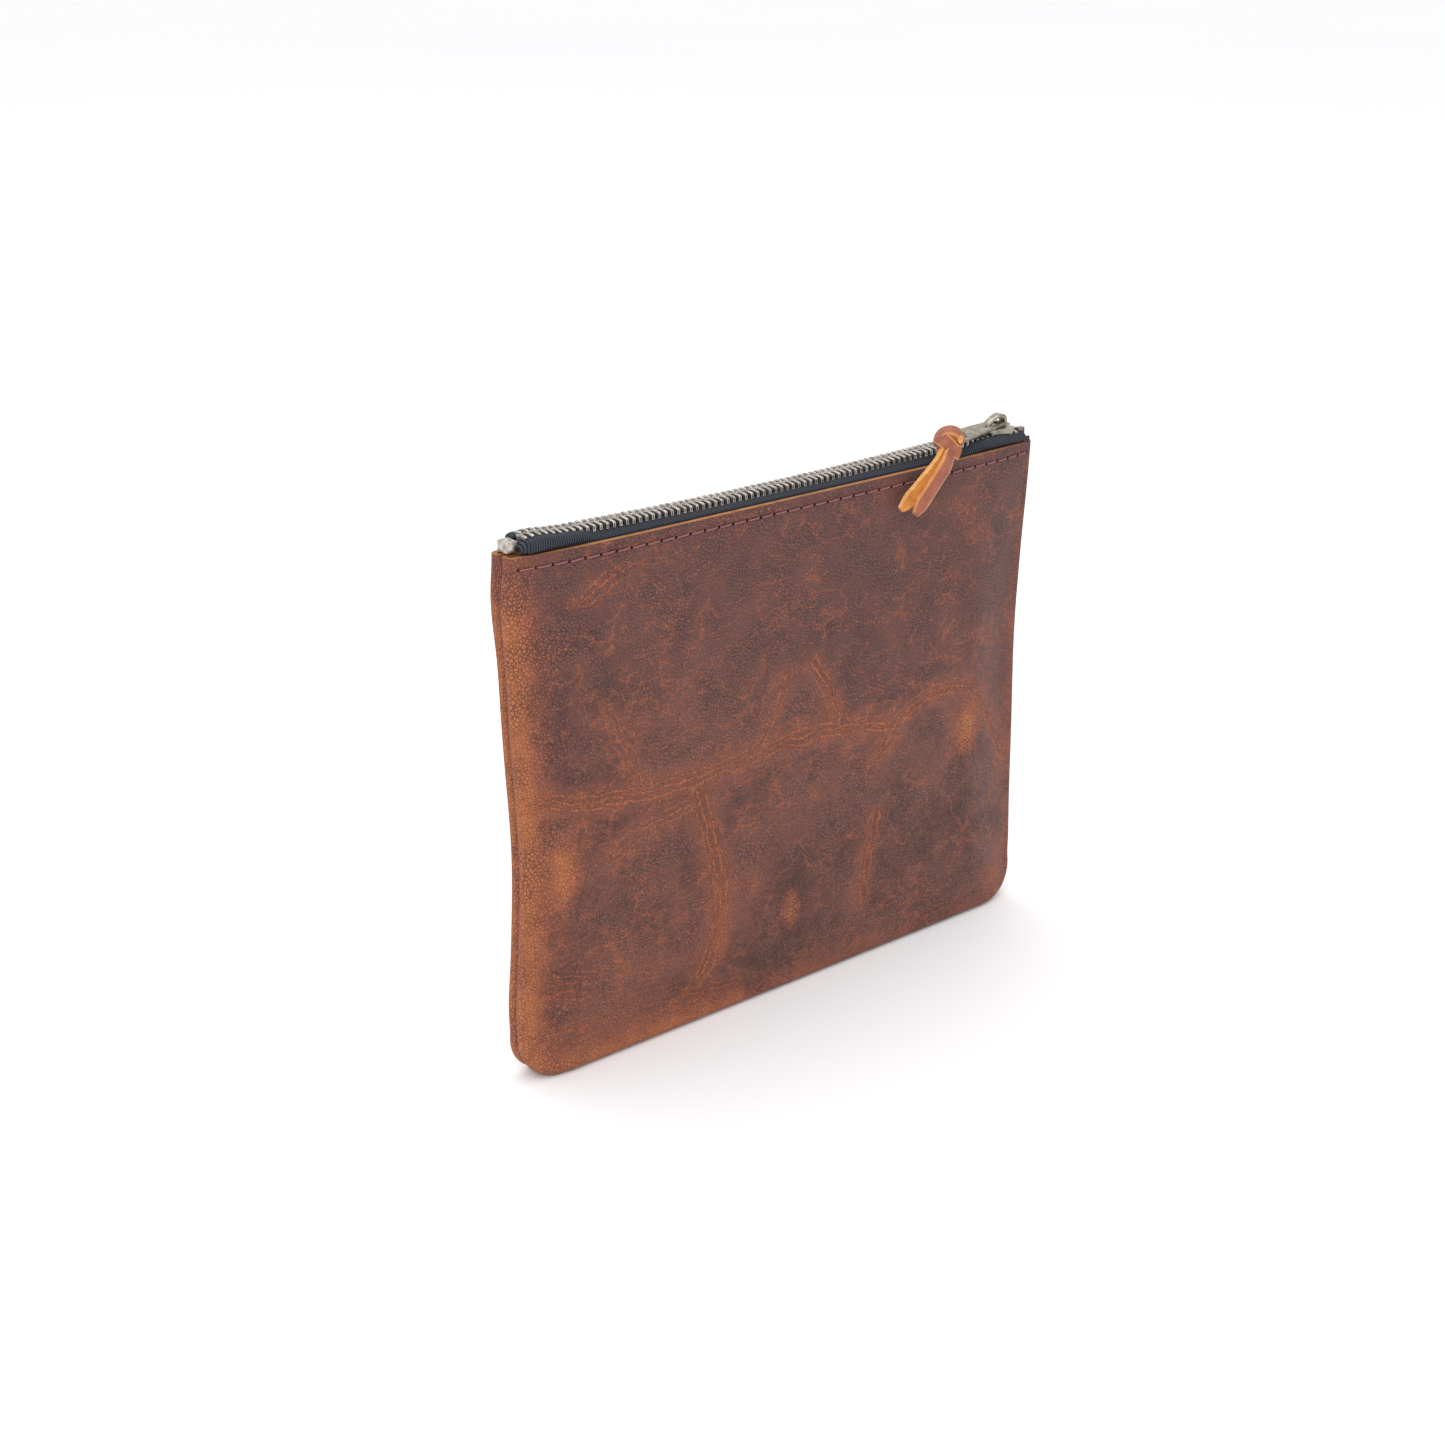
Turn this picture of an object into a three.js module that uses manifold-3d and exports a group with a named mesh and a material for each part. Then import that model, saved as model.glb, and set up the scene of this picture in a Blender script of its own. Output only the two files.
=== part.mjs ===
// Zippered leather pouch: two turned leather panels, a metal zip sewn under
// their raw top edges, and a knotted leather strip on the zip's pull tab.
// Millimetres. +X runs along the zip, -Y is the front, +Z is up. The origin is
// on the ground, in the middle of the seam between the two panels.
import * as THREE from "three";
import { mergeVertices } from "three/addons/utils/BufferGeometryUtils.js";
import Module from "manifold-3d";

const wasm = await Module();
wasm.setup();

// ---- Driving dimensions -----------------------------------------------------
const CLEARANCE = 0.3; // between pieces that rest on or pass each other

// Leather panels
const PANEL_WIDTH = 218; // outside to outside of the side seams
const PANEL_HEIGHT = 172; // ground to raw top edge
const LEATHER = 1.8; // leather thickness
const CORNER_RADIUS = 13; // rounding of the bottom corners
const WAIST = 1.2; // how far each side is drawn in at half height
const ALLOWANCE = 7; // seam allowance turned inside
const ALLOWANCE_STEP = 1; // distance over which the allowance ends
const SEAM_GAP = 0.3; // between the front and the back panel at the seam
const SEAM_GROOVE = 1.5; // depth of the groove that the seam lies in
const SEAM_LIP = 1; // distance of the groove's edge from the middle plane
const SIDE_EDGE = 2.2; // half depth at the side's outermost line
const SIDE_ROLL = 3.8; // half depth where the side roll meets the face
const FOOT_HALF = 6.4; // half depth of the flat foot
const FOOT_ROLL = 7.8; // half depth where the bottom roll meets the face
const ROLL_RADIUS = 3.4; // radius of the turned rolls
const FULL_HALF = 8.8; // half depth of the filled-out face
const FILL_DISTANCE = 30; // distance from the seam where the face is full
const MOUTH_HALF = 6.4; // inner half width of the mouth at its middle
const MOUTH_CORNER_HALF = 1.9; // inner half width of the mouth at its corners
const MOUTH_BLEND = 40; // height over which the face narrows to the mouth

// Zip
const CHAIN_MARGIN = 7.4; // from the rows of teeth to each side of the pouch
const TOOTH_PITCH = 2.42;
const TOOTH_HEIGHT = 2.4;
const TOOTH_ROOT_WIDTH = 1.25;
const TOOTH_TIP_WIDTH = 1;
const TOOTH_REACH = 0.7; // how far a tooth passes the middle of the chain
const CHAIN_HALF = 2.95; // half width of the closed chain
const CHAIN_RISE = 3.6; // chain's middle over the raw leather edge
const BEAD_WIDTH = 1.2; // corded edge that the teeth are clamped on
const TOOTH_COVER = 0.2; // how far a tooth passes the corded edge
const CHAIN_END_GAP = 0.4; // between the teeth's bead and each stop
const BOTTOM_STOP_LENGTH = 4.4;
const BOTTOM_STOP_HEIGHT = 3.6;
const TOP_STOP_LENGTH = 3;
const TOP_STOP_WIDTH = 2.2;
const TOP_STOP_HEIGHT = 3.2;
const TAPE_THICKNESS = 0.6;
const TAPE_DROP = 12; // how far the tape reaches down inside the leather
const TAPE_OVERHANG = 1.4; // tape past the stops

// Slider, pull tab and leather pull
const SLIDER_LENGTH = 11.75;
const SLIDER_PLATE = 0.8;
const SLIDER_WALL = 0.7;
const SLIDER_PLAY = 0.25; // between the chain and the slider's walls
const SLIDER_FRONT_GAP = 1.5; // between the closed slider and the top stops
const SLIDER_TAPER = 3; // half length of the stretch over which the slider widens
const SLIDER_REAR_CORNER = 0.8; // cut off the rear corners
const SLIDER_FRONT_CORNER = 2.2; // cut off the front corners
const SLIDER_STEPS = 8;
const TAPE_SLOT = 1.2; // height of the slot that the tape leaves through
const CHAIN_SPREAD = 1.6; // how far the slider's post pushes each row out
const POST_HALF = 0.7;
const POST_LENGTH = 4.2;
const POST_SETBACK = 0.3; // from the slider's front end to its post
const CROWN_WIDTH = 2.8;
const CROWN_HEIGHT = 4.3;
const CROWN_THICKNESS = 1.2;
const CROWN_REAR = 4.6; // from the slider's middle to the crown's rear foot
const CROWN_FRONT = 5.1; // and to its front foot
const CROWN_SUNK = 0.3; // how deep its feet stand in the plate
const TAB_LENGTH = 23; // from the crown's bar to the end bar
const TAB_WIDTH = 5.8;
const TAB_THICKNESS = 1.1;
const TAB_BAR = 1.3; // width of the bars across the tab's ends
const TAB_WINDOW = 8.2; // length of the window that the crown stands in
const TAB_SLOT = 3; // length of the slot for the leather
const TAB_PLAY = 0.35; // between the crown and the tab's window
const TAB_LIFT = 0.15; // tab's bar over the slider's plate
const TAB_PIVOT = 2.2; // from the slider's middle to the tab's bar
const TAB_CORNER = 1; // cut off the tab's far corners
const STOP_CORNER = 0.6; // radius of the stops' corners
const STRIP_WIDTH = 5.6;
const STRIP_THICKNESS = 1.6;
const STRIP_LOOP_THICKNESS = 0.8; // where the strip is squeezed round the bar
const STRIP_LOOP_WIDTH = 3.2;
const STRIP_PLAY = 0.12; // between the loop and the tab's end bar
const STRIP_NECK_WIDTH = 1.8; // where the strip leaves its loop
const TAIL_LENGTH = 29;
const TAIL_LEAN = 44; // degrees below the horizontal
const TAIL_FAN = 9; // degrees between the two tails
const TAIL_BOW = 2.6; // how far the tails stand out past the knot's middle
const TAIL_END = 0.45; // share of its width that a tail keeps at its tip
const KNOT_SIZE = [10.4, 8.8, 8.2];
const KNOT_LEFT_OF_BAR = 11.4;
const KNOT_OUT = 3.8; // from the tape's bend to the knot's middle
const KNOT_DROP = -0.5; // from the tab to the knot's middle

// Thread
const THREAD_RADIUS = 0.35;
const THREAD_COVER = 0.15; // from the seam's outline to its thread
const STITCH_DROP = 3.6; // stitch line below the raw leather edge
const STITCH_END_MARGIN = 4; // last stitch to the side of the pouch
const LINE_POINTS = 28; // points that a straight line of thread is laid through
const SEAM_STEP = 7.4; // length of one straight step of the seam's thread

// ---- Sizes that follow ------------------------------------------------------
const HALF_WIDTH = PANEL_WIDTH / 2;
const CHAIN_Z = PANEL_HEIGHT + CHAIN_RISE;
const POCKET_HALF = HALF_WIDTH - ALLOWANCE - ALLOWANCE_STEP;
const TOOTH_COUNT = Math.round((PANEL_WIDTH - 2 * CHAIN_MARGIN) / TOOTH_PITCH);
const CHAIN_LENGTH = TOOTH_COUNT * TOOTH_PITCH;
const BEAD_END = CHAIN_LENGTH / 2;
const TOP_STOP_X = BEAD_END + CHAIN_END_GAP + TOP_STOP_LENGTH / 2;
const BOTTOM_STOP_X = -BEAD_END - CHAIN_END_GAP - BOTTOM_STOP_LENGTH / 2;
const TAPE_END = TOP_STOP_X + TOP_STOP_LENGTH / 2 + TAPE_OVERHANG;
const SLIDER_REAR_HALF = CHAIN_HALF + SLIDER_PLAY + SLIDER_WALL;
const SLIDER_FRONT_HALF = SLIDER_REAR_HALF + CHAIN_SPREAD;
const SLIDER_HALF_HEIGHT = TOOTH_HEIGHT / 2 + CLEARANCE + SLIDER_PLATE;
const SLIDER_X = TOP_STOP_X - TOP_STOP_LENGTH / 2 - SLIDER_FRONT_GAP - SLIDER_LENGTH / 2;
const SPREAD_START = SLIDER_X - 1;
const POST_X = SLIDER_LENGTH / 2 - POST_SETBACK - POST_LENGTH / 2;
const SPREAD_END = SLIDER_X + POST_X;
const SHELF_HALF = SLIDER_FRONT_HALF + CLEARANCE + TAPE_THICKNESS / 2;
const SLIDER_TOP_Z = CHAIN_Z + SLIDER_HALF_HEIGHT;
const TAB_Z = SLIDER_TOP_Z + Math.hypot(TAB_BAR, TAB_THICKNESS) / 2 + TAB_LIFT;
const TAB_PIVOT_X = SLIDER_X + TAB_PIVOT;
const END_BAR_X = TAB_PIVOT_X - TAB_LENGTH;

// ---- Small helpers ----------------------------------------------------------
const clamp01 = (t) => Math.min(1, Math.max(0, t));
const mix = (a, b, t) => a + (b - a) * t;

/** 0 below from, 1 above to, with a smooth rise between them. */
function smoothStep(value, from, to) {
  const t = clamp01((value - from) / (to - from));
  return t * t * (3 - 2 * t);
}

/** Only positions, with shared corners merged: what a closed solid needs. */
function positionsOnly(geometry) {
  const bare = geometry.clone();
  for (const name of Object.keys(bare.attributes)) {
    if (name !== "position") bare.deleteAttribute(name);
  }
  return mergeVertices(bare, 1e-4);
}

function toSolid(geometry) {
  const bare = positionsOnly(geometry);
  const mesh = new wasm.Mesh({
    numProp: 3,
    vertProperties: new Float32Array(bare.getAttribute("position").array),
    triVerts: new Uint32Array(bare.getIndex().array),
  });
  return new wasm.Manifold(mesh);
}

function toGeometry(solid) {
  const { vertProperties, triVerts } = solid.getMesh();
  const geometry = new THREE.BufferGeometry();
  geometry.setAttribute("position", new THREE.BufferAttribute(vertProperties, 3));
  geometry.setIndex(new THREE.BufferAttribute(triVerts, 1));
  return geometry;
}

function joined(geometries) {
  return toGeometry(geometries.map(toSolid).reduce((whole, next) => whole.add(next)));
}

/** Calls shape(x, y, z) for every vertex and moves the vertex to its answer. */
function reshaped(geometry, shape) {
  const bare = positionsOnly(geometry);
  const place = bare.getAttribute("position");
  for (let i = 0; i < place.count; i += 1) {
    place.setXYZ(i, ...shape(place.getX(i), place.getY(i), place.getZ(i)));
  }
  return bare;
}

/** The geometry seen in a mirror that stands at y = 0, faces still out. */
function mirrored(geometry) {
  const copy = positionsOnly(geometry).scale(1, -1, 1);
  const index = copy.getIndex().array;
  for (let i = 0; i < index.length; i += 3) {
    [index[i + 1], index[i + 2]] = [index[i + 2], index[i + 1]];
  }
  return copy;
}

/** A flat outline in X and Y, given thickness about z = 0. */
function plate(outline, thickness) {
  const geometry = new THREE.ExtrudeGeometry(outline, { depth: thickness, bevelEnabled: false });
  return geometry.translate(0, 0, -thickness / 2);
}

function outlineOf(points) {
  return new THREE.Shape(points.map(([x, y]) => new THREE.Vector2(x, y)));
}

/** An outline that is the mirror of itself about y = 0, from its upper half. */
function symmetricOutline(upper) {
  return outlineOf([...upper, ...upper.toReversed().map(([x, y]) => [x, -y])]);
}

function thread(points, steps) {
  const sides = 5;
  const section = new THREE.Shape(
    Array.from({ length: sides }, (_, k) => {
      const turn = (k / sides) * 2 * Math.PI;
      return new THREE.Vector2(THREAD_RADIUS * Math.cos(turn), THREAD_RADIUS * Math.sin(turn));
    }),
  );
  const path = new THREE.CatmullRomCurve3(points.map((p) => new THREE.Vector3(...p)));
  return new THREE.ExtrudeGeometry(section, { steps, extrudePath: path, bevelEnabled: false });
}

// ---- The pouch's form -------------------------------------------------------
/** Height of the lower edge at a distance x from the middle. */
function cornerRise(x) {
  const past = Math.abs(x) - (HALF_WIDTH - CORNER_RADIUS);
  return past <= 0 ? 0 : CORNER_RADIUS - Math.sqrt(Math.max(0, CORNER_RADIUS ** 2 - past ** 2));
}

const sideX = (z) => HALF_WIDTH - WAIST * Math.sin(Math.PI * clamp01(z / PANEL_HEIGHT));

/** Distance from the side and bottom outline, measured inwards. */
function seamDistance(x, z) {
  const side = sideX(z) - Math.abs(x);
  const inCorner = side < CORNER_RADIUS && z < CORNER_RADIUS;
  if (!inCorner) return Math.max(0, Math.min(side, z));
  return Math.max(0, CORNER_RADIUS - Math.hypot(CORNER_RADIUS - side, CORNER_RADIUS - z));
}

/** Inner half width of the mouth at the raw edge. */
function mouthHalf(x) {
  const fullness = (1 - clamp01(Math.abs(x) / HALF_WIDTH) ** 6) ** 0.6;
  return mix(MOUTH_CORNER_HALF, MOUTH_HALF, fullness);
}

/** Half depth of the pouch's outside: rolled at the seam, full in the middle. */
function outerHalf(x, z) {
  const s = seamDistance(x, z);
  const bottomness = clamp01(0.5 + (sideX(z) - Math.abs(x) - z) / (2 * CORNER_RADIUS));
  const edge = mix(SIDE_EDGE, FOOT_HALF, bottomness);
  const roll = mix(SIDE_ROLL, FOOT_ROLL, bottomness);
  const turned = Math.sqrt(1 - (1 - clamp01(s / ROLL_RADIUS)) ** 2);
  const face = mix(edge, roll, turned) + (FULL_HALF - roll) * smoothStep(s, 0, FILL_DISTANCE);
  const top = smoothStep(z, PANEL_HEIGHT - MOUTH_BLEND, PANEL_HEIGHT);
  return mix(face, mouthHalf(x) + LEATHER, top);
}

/** Half depth of the inside: solid over the turned allowances. */
function innerHalf(x, z) {
  const inside = smoothStep(seamDistance(x, z), ALLOWANCE, ALLOWANCE + ALLOWANCE_STEP);
  return mix(SEAM_GAP / 2, outerHalf(x, z) - LEATHER, inside);
}

/** Evenly spaced values from a to b, both included. */
function spread(a, b, steps) {
  return Array.from({ length: steps + 1 }, (_, k) => mix(a, b, k / steps));
}

/** The values of a rising list that starts at 0, and their negatives. */
const bothWays = (values) => [...values.slice(1).map((x) => -x).reverse(), ...values];

const END_ZONE = 3 * ALLOWANCE; // stretch at the pocket's ends with closer columns
const POCKET_COLUMNS = [
  ...spread(0, POCKET_HALF - END_ZONE, 7),
  POCKET_HALF - (2 / 3) * END_ZONE,
  POCKET_HALF - (1 / 3) * END_ZONE,
];
const COLUMNS = bothWays([
  ...POCKET_COLUMNS,
  POCKET_HALF,
  HALF_WIDTH - ALLOWANCE,
  HALF_WIDTH - ALLOWANCE / 2,
  HALF_WIDTH - SEAM_GROOVE,
  HALF_WIDTH,
]);
const ROWS = [
  ...[0, SEAM_GROOVE, ROLL_RADIUS, ALLOWANCE, ALLOWANCE + ALLOWANCE_STEP],
  ...spread(FILL_DISTANCE / 2, PANEL_HEIGHT - MOUTH_BLEND, 6),
  ...[PANEL_HEIGHT - 2 * TAPE_DROP, PANEL_HEIGHT - TAPE_DROP, PANEL_HEIGHT - TAPE_DROP / 2],
  PANEL_HEIGHT,
];

/** One panel: a box of cells whose skins are laid on the pouch's form. */
function backPanel() {
  const columns = COLUMNS.length - 1;
  const rows = ROWS.length - 1;
  const cells = new THREE.BoxGeometry(1, 1, 1, columns, rows, 2);
  return reshaped(cells, (u, v, w) => {
    const column = COLUMNS[Math.round((u + 0.5) * columns)];
    const row = ROWS[Math.round((v + 0.5) * rows)];
    const rise = cornerRise(column);
    const groove = (distance) =>
      w < -0.25 ? SEAM_GROOVE * (1 - smoothStep(distance, 0, ALLOWANCE / 2)) : 0;
    const z = rise + (PANEL_HEIGHT - rise) * (row / PANEL_HEIGHT) + groove(row);
    const inset = groove(HALF_WIDTH - Math.abs(column));
    const x = -column * (sideX(z) / HALF_WIDTH) + Math.sign(column) * inset;
    const atTop = row === PANEL_HEIGHT;
    if (w > 0.25) return [x, outerHalf(x, z), z];
    if (w < -0.25) return [x, innerHalf(x, z), z];
    return [x, atTop ? (outerHalf(x, z) + innerHalf(x, z)) / 2 : SEAM_LIP, z];
  });
}

// ---- Zip --------------------------------------------------------------------
/** How far the closed slider's post has pushed a row of teeth out at x. */
const spreadAt = (x) => CHAIN_SPREAD * smoothStep(x, SPREAD_START, SPREAD_END);

/** A row on the back side: teeth clamped on their tape's corded edge. */
function teethRow(shift) {
  const root = CHAIN_HALF - BEAD_WIDTH;
  const first = -((TOOTH_COUNT - 1) / 2) * TOOTH_PITCH + shift;
  const outline = outlineOf([
    [-TOOTH_TIP_WIDTH / 2, -TOOTH_REACH],
    [TOOTH_TIP_WIDTH / 2, -TOOTH_REACH],
    [TOOTH_ROOT_WIDTH / 2, root],
    [TOOTH_ROOT_WIDTH / 2, CHAIN_HALF],
    [-TOOTH_ROOT_WIDTH / 2, CHAIN_HALF],
    [-TOOTH_ROOT_WIDTH / 2, root],
  ]);
  const teeth = Array.from({ length: TOOTH_COUNT }, (_, k) => {
    const x = first + k * TOOTH_PITCH;
    return plate(outline, TOOTH_HEIGHT).translate(x, spreadAt(x), 0);
  });
  const width = BEAD_WIDTH - TOOTH_COVER;
  const cord = new THREE.BoxGeometry(2 * BEAD_END, width, BEAD_WIDTH, TOOTH_COUNT, 1, 1);
  const bead = reshaped(cord, (x, y, z) => [x, y + root + width / 2 + spreadAt(x), z]);
  return joined([bead, ...teeth]).translate(0, 0, CHAIN_Z);
}

/** The back tape's section at x, from its lower edge to the chain. */
function tapeSection(x) {
  const half = TAPE_THICKNESS / 2;
  const insidePocket = Math.abs(x) < POCKET_HALF - CLEARANCE;
  const chainEdge = CHAIN_HALF + spreadAt(x) + CLEARANCE;
  const past = smoothStep(Math.abs(x), POCKET_HALF, TAPE_END);
  const shelf = mix(SHELF_HALF, chainEdge + 2 * TAPE_THICKNESS, past);
  const under = (z) => innerHalf(x, Math.min(z, PANEL_HEIGHT)) - CLEARANCE - half;
  const clearOfEdge = PANEL_HEIGHT + CLEARANCE + half;
  const low = insidePocket
    ? [-TAPE_DROP, -TAPE_DROP / 2, half].map((lift) => PANEL_HEIGHT + lift).map((z) => [under(z), z])
    : [0, 0.05, 0.1].map((lift) => [mouthHalf(x) - CLEARANCE - half, clearOfEdge + lift]);
  return [
    ...low,
    [mix(low[2][0], shelf, 0.75), clearOfEdge + half],
    [shelf, clearOfEdge + 2 * half],
    [shelf, CHAIN_Z - 2 * half],
    [shelf - half, CHAIN_Z - 0.5 * half],
    [shelf - 2 * half, CHAIN_Z],
    [chainEdge, CHAIN_Z],
  ];
}

/** The section's line moved sideways by distance, to the left of its way. */
function offsetLine(line, distance) {
  return line.map(([y, z], k) => {
    const [y0, z0] = line[Math.max(0, k - 1)];
    const [y1, z1] = line[Math.min(line.length - 1, k + 1)];
    const length = Math.hypot(y1 - y0, z1 - z0);
    return [y - (distance * (z1 - z0)) / length, z + (distance * (y1 - y0)) / length];
  });
}

const TAPE_COLUMNS = bothWays([
  ...POCKET_COLUMNS,
  ...spread(SPREAD_START, SPREAD_END, 4),
  POCKET_HALF - 2 * CLEARANCE,
  POCKET_HALF - CLEARANCE,
  POCKET_HALF + 2,
  TAPE_END,
].sort((a, b) => a - b));

function backTape() {
  const columns = TAPE_COLUMNS.length - 1;
  const rows = tapeSection(0).length - 1;
  const cells = new THREE.BoxGeometry(1, 1, 1, columns, rows, 1);
  return reshaped(cells, (u, v, w) => {
    const x = -TAPE_COLUMNS[Math.round((u + 0.5) * columns)];
    const line = offsetLine(tapeSection(x), w * -TAPE_THICKNESS);
    const [y, z] = line[Math.round((v + 0.5) * rows)];
    return [x, y, z];
  });
}

function roundedBlock(length, width, height, radius) {
  const [x, y] = [length / 2, width / 2];
  const shape = new THREE.Shape();
  shape.absarc(x - radius, y - radius, radius, 0, Math.PI / 2);
  shape.absarc(-x + radius, y - radius, radius, Math.PI / 2, Math.PI);
  shape.absarc(-x + radius, -y + radius, radius, Math.PI, 1.5 * Math.PI);
  shape.absarc(x - radius, -y + radius, radius, 1.5 * Math.PI, 2 * Math.PI);
  const geometry = new THREE.ExtrudeGeometry(shape, {
    depth: height,
    bevelEnabled: false,
    curveSegments: 4,
  });
  return geometry.translate(0, 0, -height / 2);
}

function bottomStop() {
  const [length, height] = [BOTTOM_STOP_LENGTH, BOTTOM_STOP_HEIGHT];
  const block = roundedBlock(length, 2 * CHAIN_HALF, height, STOP_CORNER);
  return block.translate(BOTTOM_STOP_X, 0, CHAIN_Z);
}

function backTopStop() {
  const size = [TOP_STOP_LENGTH, TOP_STOP_WIDTH, TOP_STOP_HEIGHT];
  const block = roundedBlock(...size, STOP_CORNER);
  const y = CHAIN_HALF + CHAIN_SPREAD - TOP_STOP_WIDTH / 2;
  return block.translate(TOP_STOP_X, y, CHAIN_Z);
}

// ---- Slider -----------------------------------------------------------------
/** Half width of the slider's plan at x from its middle, less an inset. */
function sliderHalf(x, inset = 0) {
  return mix(SLIDER_REAR_HALF, SLIDER_FRONT_HALF, smoothStep(x, -SLIDER_TAPER, SLIDER_TAPER)) - inset;
}

function sliderPlate() {
  const rear = -SLIDER_LENGTH / 2;
  const front = SLIDER_LENGTH / 2;
  const xs = spread(rear + SLIDER_REAR_CORNER, front - SLIDER_FRONT_CORNER, SLIDER_STEPS);
  const upper = [
    [rear, SLIDER_REAR_HALF - SLIDER_REAR_CORNER],
    ...xs.map((x) => [x, sliderHalf(x)]),
    [front - 0.4 * SLIDER_FRONT_CORNER, SLIDER_FRONT_HALF - 0.3 * SLIDER_FRONT_CORNER],
    [front, SLIDER_FRONT_HALF - SLIDER_FRONT_CORNER],
  ];
  return plate(symmetricOutline(upper), SLIDER_PLATE);
}

/** The strip of flange along the back side, between the plate and the slot. */
function sliderFlange() {
  const rear = -SLIDER_LENGTH / 2 + SLIDER_REAR_CORNER;
  const xs = spread(rear, SLIDER_LENGTH / 2 - SLIDER_FRONT_CORNER, SLIDER_STEPS);
  const outer = xs.map((x) => [x, sliderHalf(x)]);
  const inner = xs.map((x) => [x, sliderHalf(x, SLIDER_WALL)]);
  const height = SLIDER_HALF_HEIGHT - SLIDER_PLATE / 2 - TAPE_SLOT / 2;
  const middle = (SLIDER_HALF_HEIGHT - SLIDER_PLATE / 2 + TAPE_SLOT / 2) / 2;
  return plate(outlineOf([...inner, ...outer.reverse()]), height).translate(0, 0, middle);
}

function sliderPost() {
  const diamond = [
    [POST_X - POST_LENGTH / 2, 0],
    [POST_X, -POST_HALF],
    [POST_X + POST_LENGTH / 2, 0],
    [POST_X, POST_HALF],
  ];
  return plate(outlineOf(diamond), 2 * SLIDER_HALF_HEIGHT - SLIDER_PLATE);
}

/** The arch that stands lengthwise on the upper plate. */
function sliderCrown() {
  const arch = (inset, height) => {
    const at = (share) => mix(-CROWN_REAR + inset, CROWN_FRONT - inset, share);
    const line = new THREE.CatmullRomCurve3(
      [
        [at(0), -CROWN_SUNK],
        [at(0.05), 0.35 * height],
        [at(0.41), 0.86 * height],
        [at(0.68), height],
        [at(0.9), 0.8 * height],
        [at(1), -CROWN_SUNK],
      ].map(([x, z]) => new THREE.Vector3(x, z, 0)),
    );
    return line.getPoints(24).map((p) => [p.x, p.y]);
  };
  const outer = arch(0, CROWN_HEIGHT);
  const inner = arch(CROWN_THICKNESS, CROWN_HEIGHT - CROWN_THICKNESS);
  const profile = plate(outlineOf([...outer.toReversed(), ...inner]), CROWN_WIDTH);
  return profile.rotateX(Math.PI / 2).translate(0, 0, SLIDER_HALF_HEIGHT);
}

function sliderBody() {
  const plateZ = SLIDER_HALF_HEIGHT - SLIDER_PLATE / 2;
  const flange = sliderFlange();
  const flanges = [flange, flange.clone().rotateX(Math.PI), mirrored(flange)];
  flanges.push(mirrored(flange).rotateX(Math.PI));
  const whole = joined([
    sliderPlate().translate(0, 0, plateZ),
    sliderPlate().translate(0, 0, -plateZ),
    sliderPost(),
    sliderCrown(),
    ...flanges,
  ]);
  return whole.translate(SLIDER_X, 0, CHAIN_Z);
}

/** A flat tab with a window round the crown and a slot for the leather. */
function pullTab() {
  const half = TAB_WIDTH / 2;
  const windowHalf = CROWN_WIDTH / 2 + TAB_PLAY;
  const nearEnd = TAB_BAR / 2;
  const farEnd = -TAB_LENGTH - TAB_BAR / 2;
  const tab = symmetricOutline([
    [farEnd, half - TAB_CORNER],
    [farEnd + TAB_CORNER, half],
    [nearEnd - TAB_CORNER, half],
    [nearEnd, half - TAB_CORNER],
  ]);
  const opening = (from, to, halfOpening) =>
    new THREE.Path(
      [
        [from, -halfOpening],
        [to, -halfOpening],
        [to, halfOpening],
        [from, halfOpening],
      ].map(([x, y]) => new THREE.Vector2(x, y)),
    );
  const slotStart = -TAB_LENGTH + TAB_BAR / 2;
  tab.holes.push(opening(-TAB_BAR / 2 - TAB_WINDOW, -TAB_BAR / 2, windowHalf));
  tab.holes.push(opening(slotStart, slotStart + TAB_SLOT, STRIP_LOOP_WIDTH / 2 + CLEARANCE));
  return plate(tab, TAB_THICKNESS).translate(TAB_PIVOT_X, 0, TAB_Z);
}

// ---- Leather pull -----------------------------------------------------------
const KNOT = new THREE.Vector3(
  END_BAR_X - KNOT_LEFT_OF_BAR,
  -(SHELF_HALF + TAPE_THICKNESS / 2 + KNOT_OUT),
  TAB_Z - KNOT_DROP,
);

/** The strip's loop round the tab's end bar. */
function stripLoop() {
  const inner = Math.hypot(TAB_BAR, TAB_THICKNESS) / 2 + STRIP_PLAY;
  const outer = inner + STRIP_LOOP_THICKNESS;
  const half = STRIP_LOOP_WIDTH / 2;
  const section = [
    [inner, -half],
    [outer, -half],
    [outer, half],
    [inner, half],
    [inner, -half],
  ].map(([r, y]) => new THREE.Vector2(r, y));
  return new THREE.LatheGeometry(section, 16).translate(END_BAR_X, 0, TAB_Z);
}

/** The strip between its loop and the knot. */
function stripNeck() {
  const out = Math.hypot(TAB_BAR, TAB_THICKNESS) / 2 + STRIP_PLAY + STRIP_LOOP_THICKNESS;
  const start = new THREE.Vector3(END_BAR_X - out, -STRIP_LOOP_WIDTH / 8, TAB_Z);
  const way = new THREE.Vector3().subVectors(KNOT, start);
  const neck = new THREE.BoxGeometry(way.length(), STRIP_NECK_WIDTH, STRIP_THICKNESS);
  neck.rotateZ(Math.atan2(way.y, way.x));
  const middle = new THREE.Vector3().addVectors(start, KNOT).multiplyScalar(0.5);
  return neck.translate(middle.x, middle.y, middle.z);
}

/** One tail, hanging from the knot in front of the panel. */
function stripTail(lean, layer, length) {
  const steps = 8;
  const tail = new THREE.BoxGeometry(length, STRIP_THICKNESS, STRIP_WIDTH, steps, 1, 1);
  const bowed = reshaped(tail, (x, y, z) => {
    const along = x / length + 0.5;
    const narrow = mix(1, TAIL_END, smoothStep(along, 0.86, 1));
    return [-along * length, y - TAIL_BOW * smoothStep(along, 0, 0.35), -z * narrow];
  });
  bowed.rotateY((-lean * Math.PI) / 180);
  return bowed.translate(KNOT.x, KNOT.y - layer * (STRIP_THICKNESS + 0.1), KNOT.z);
}

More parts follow.
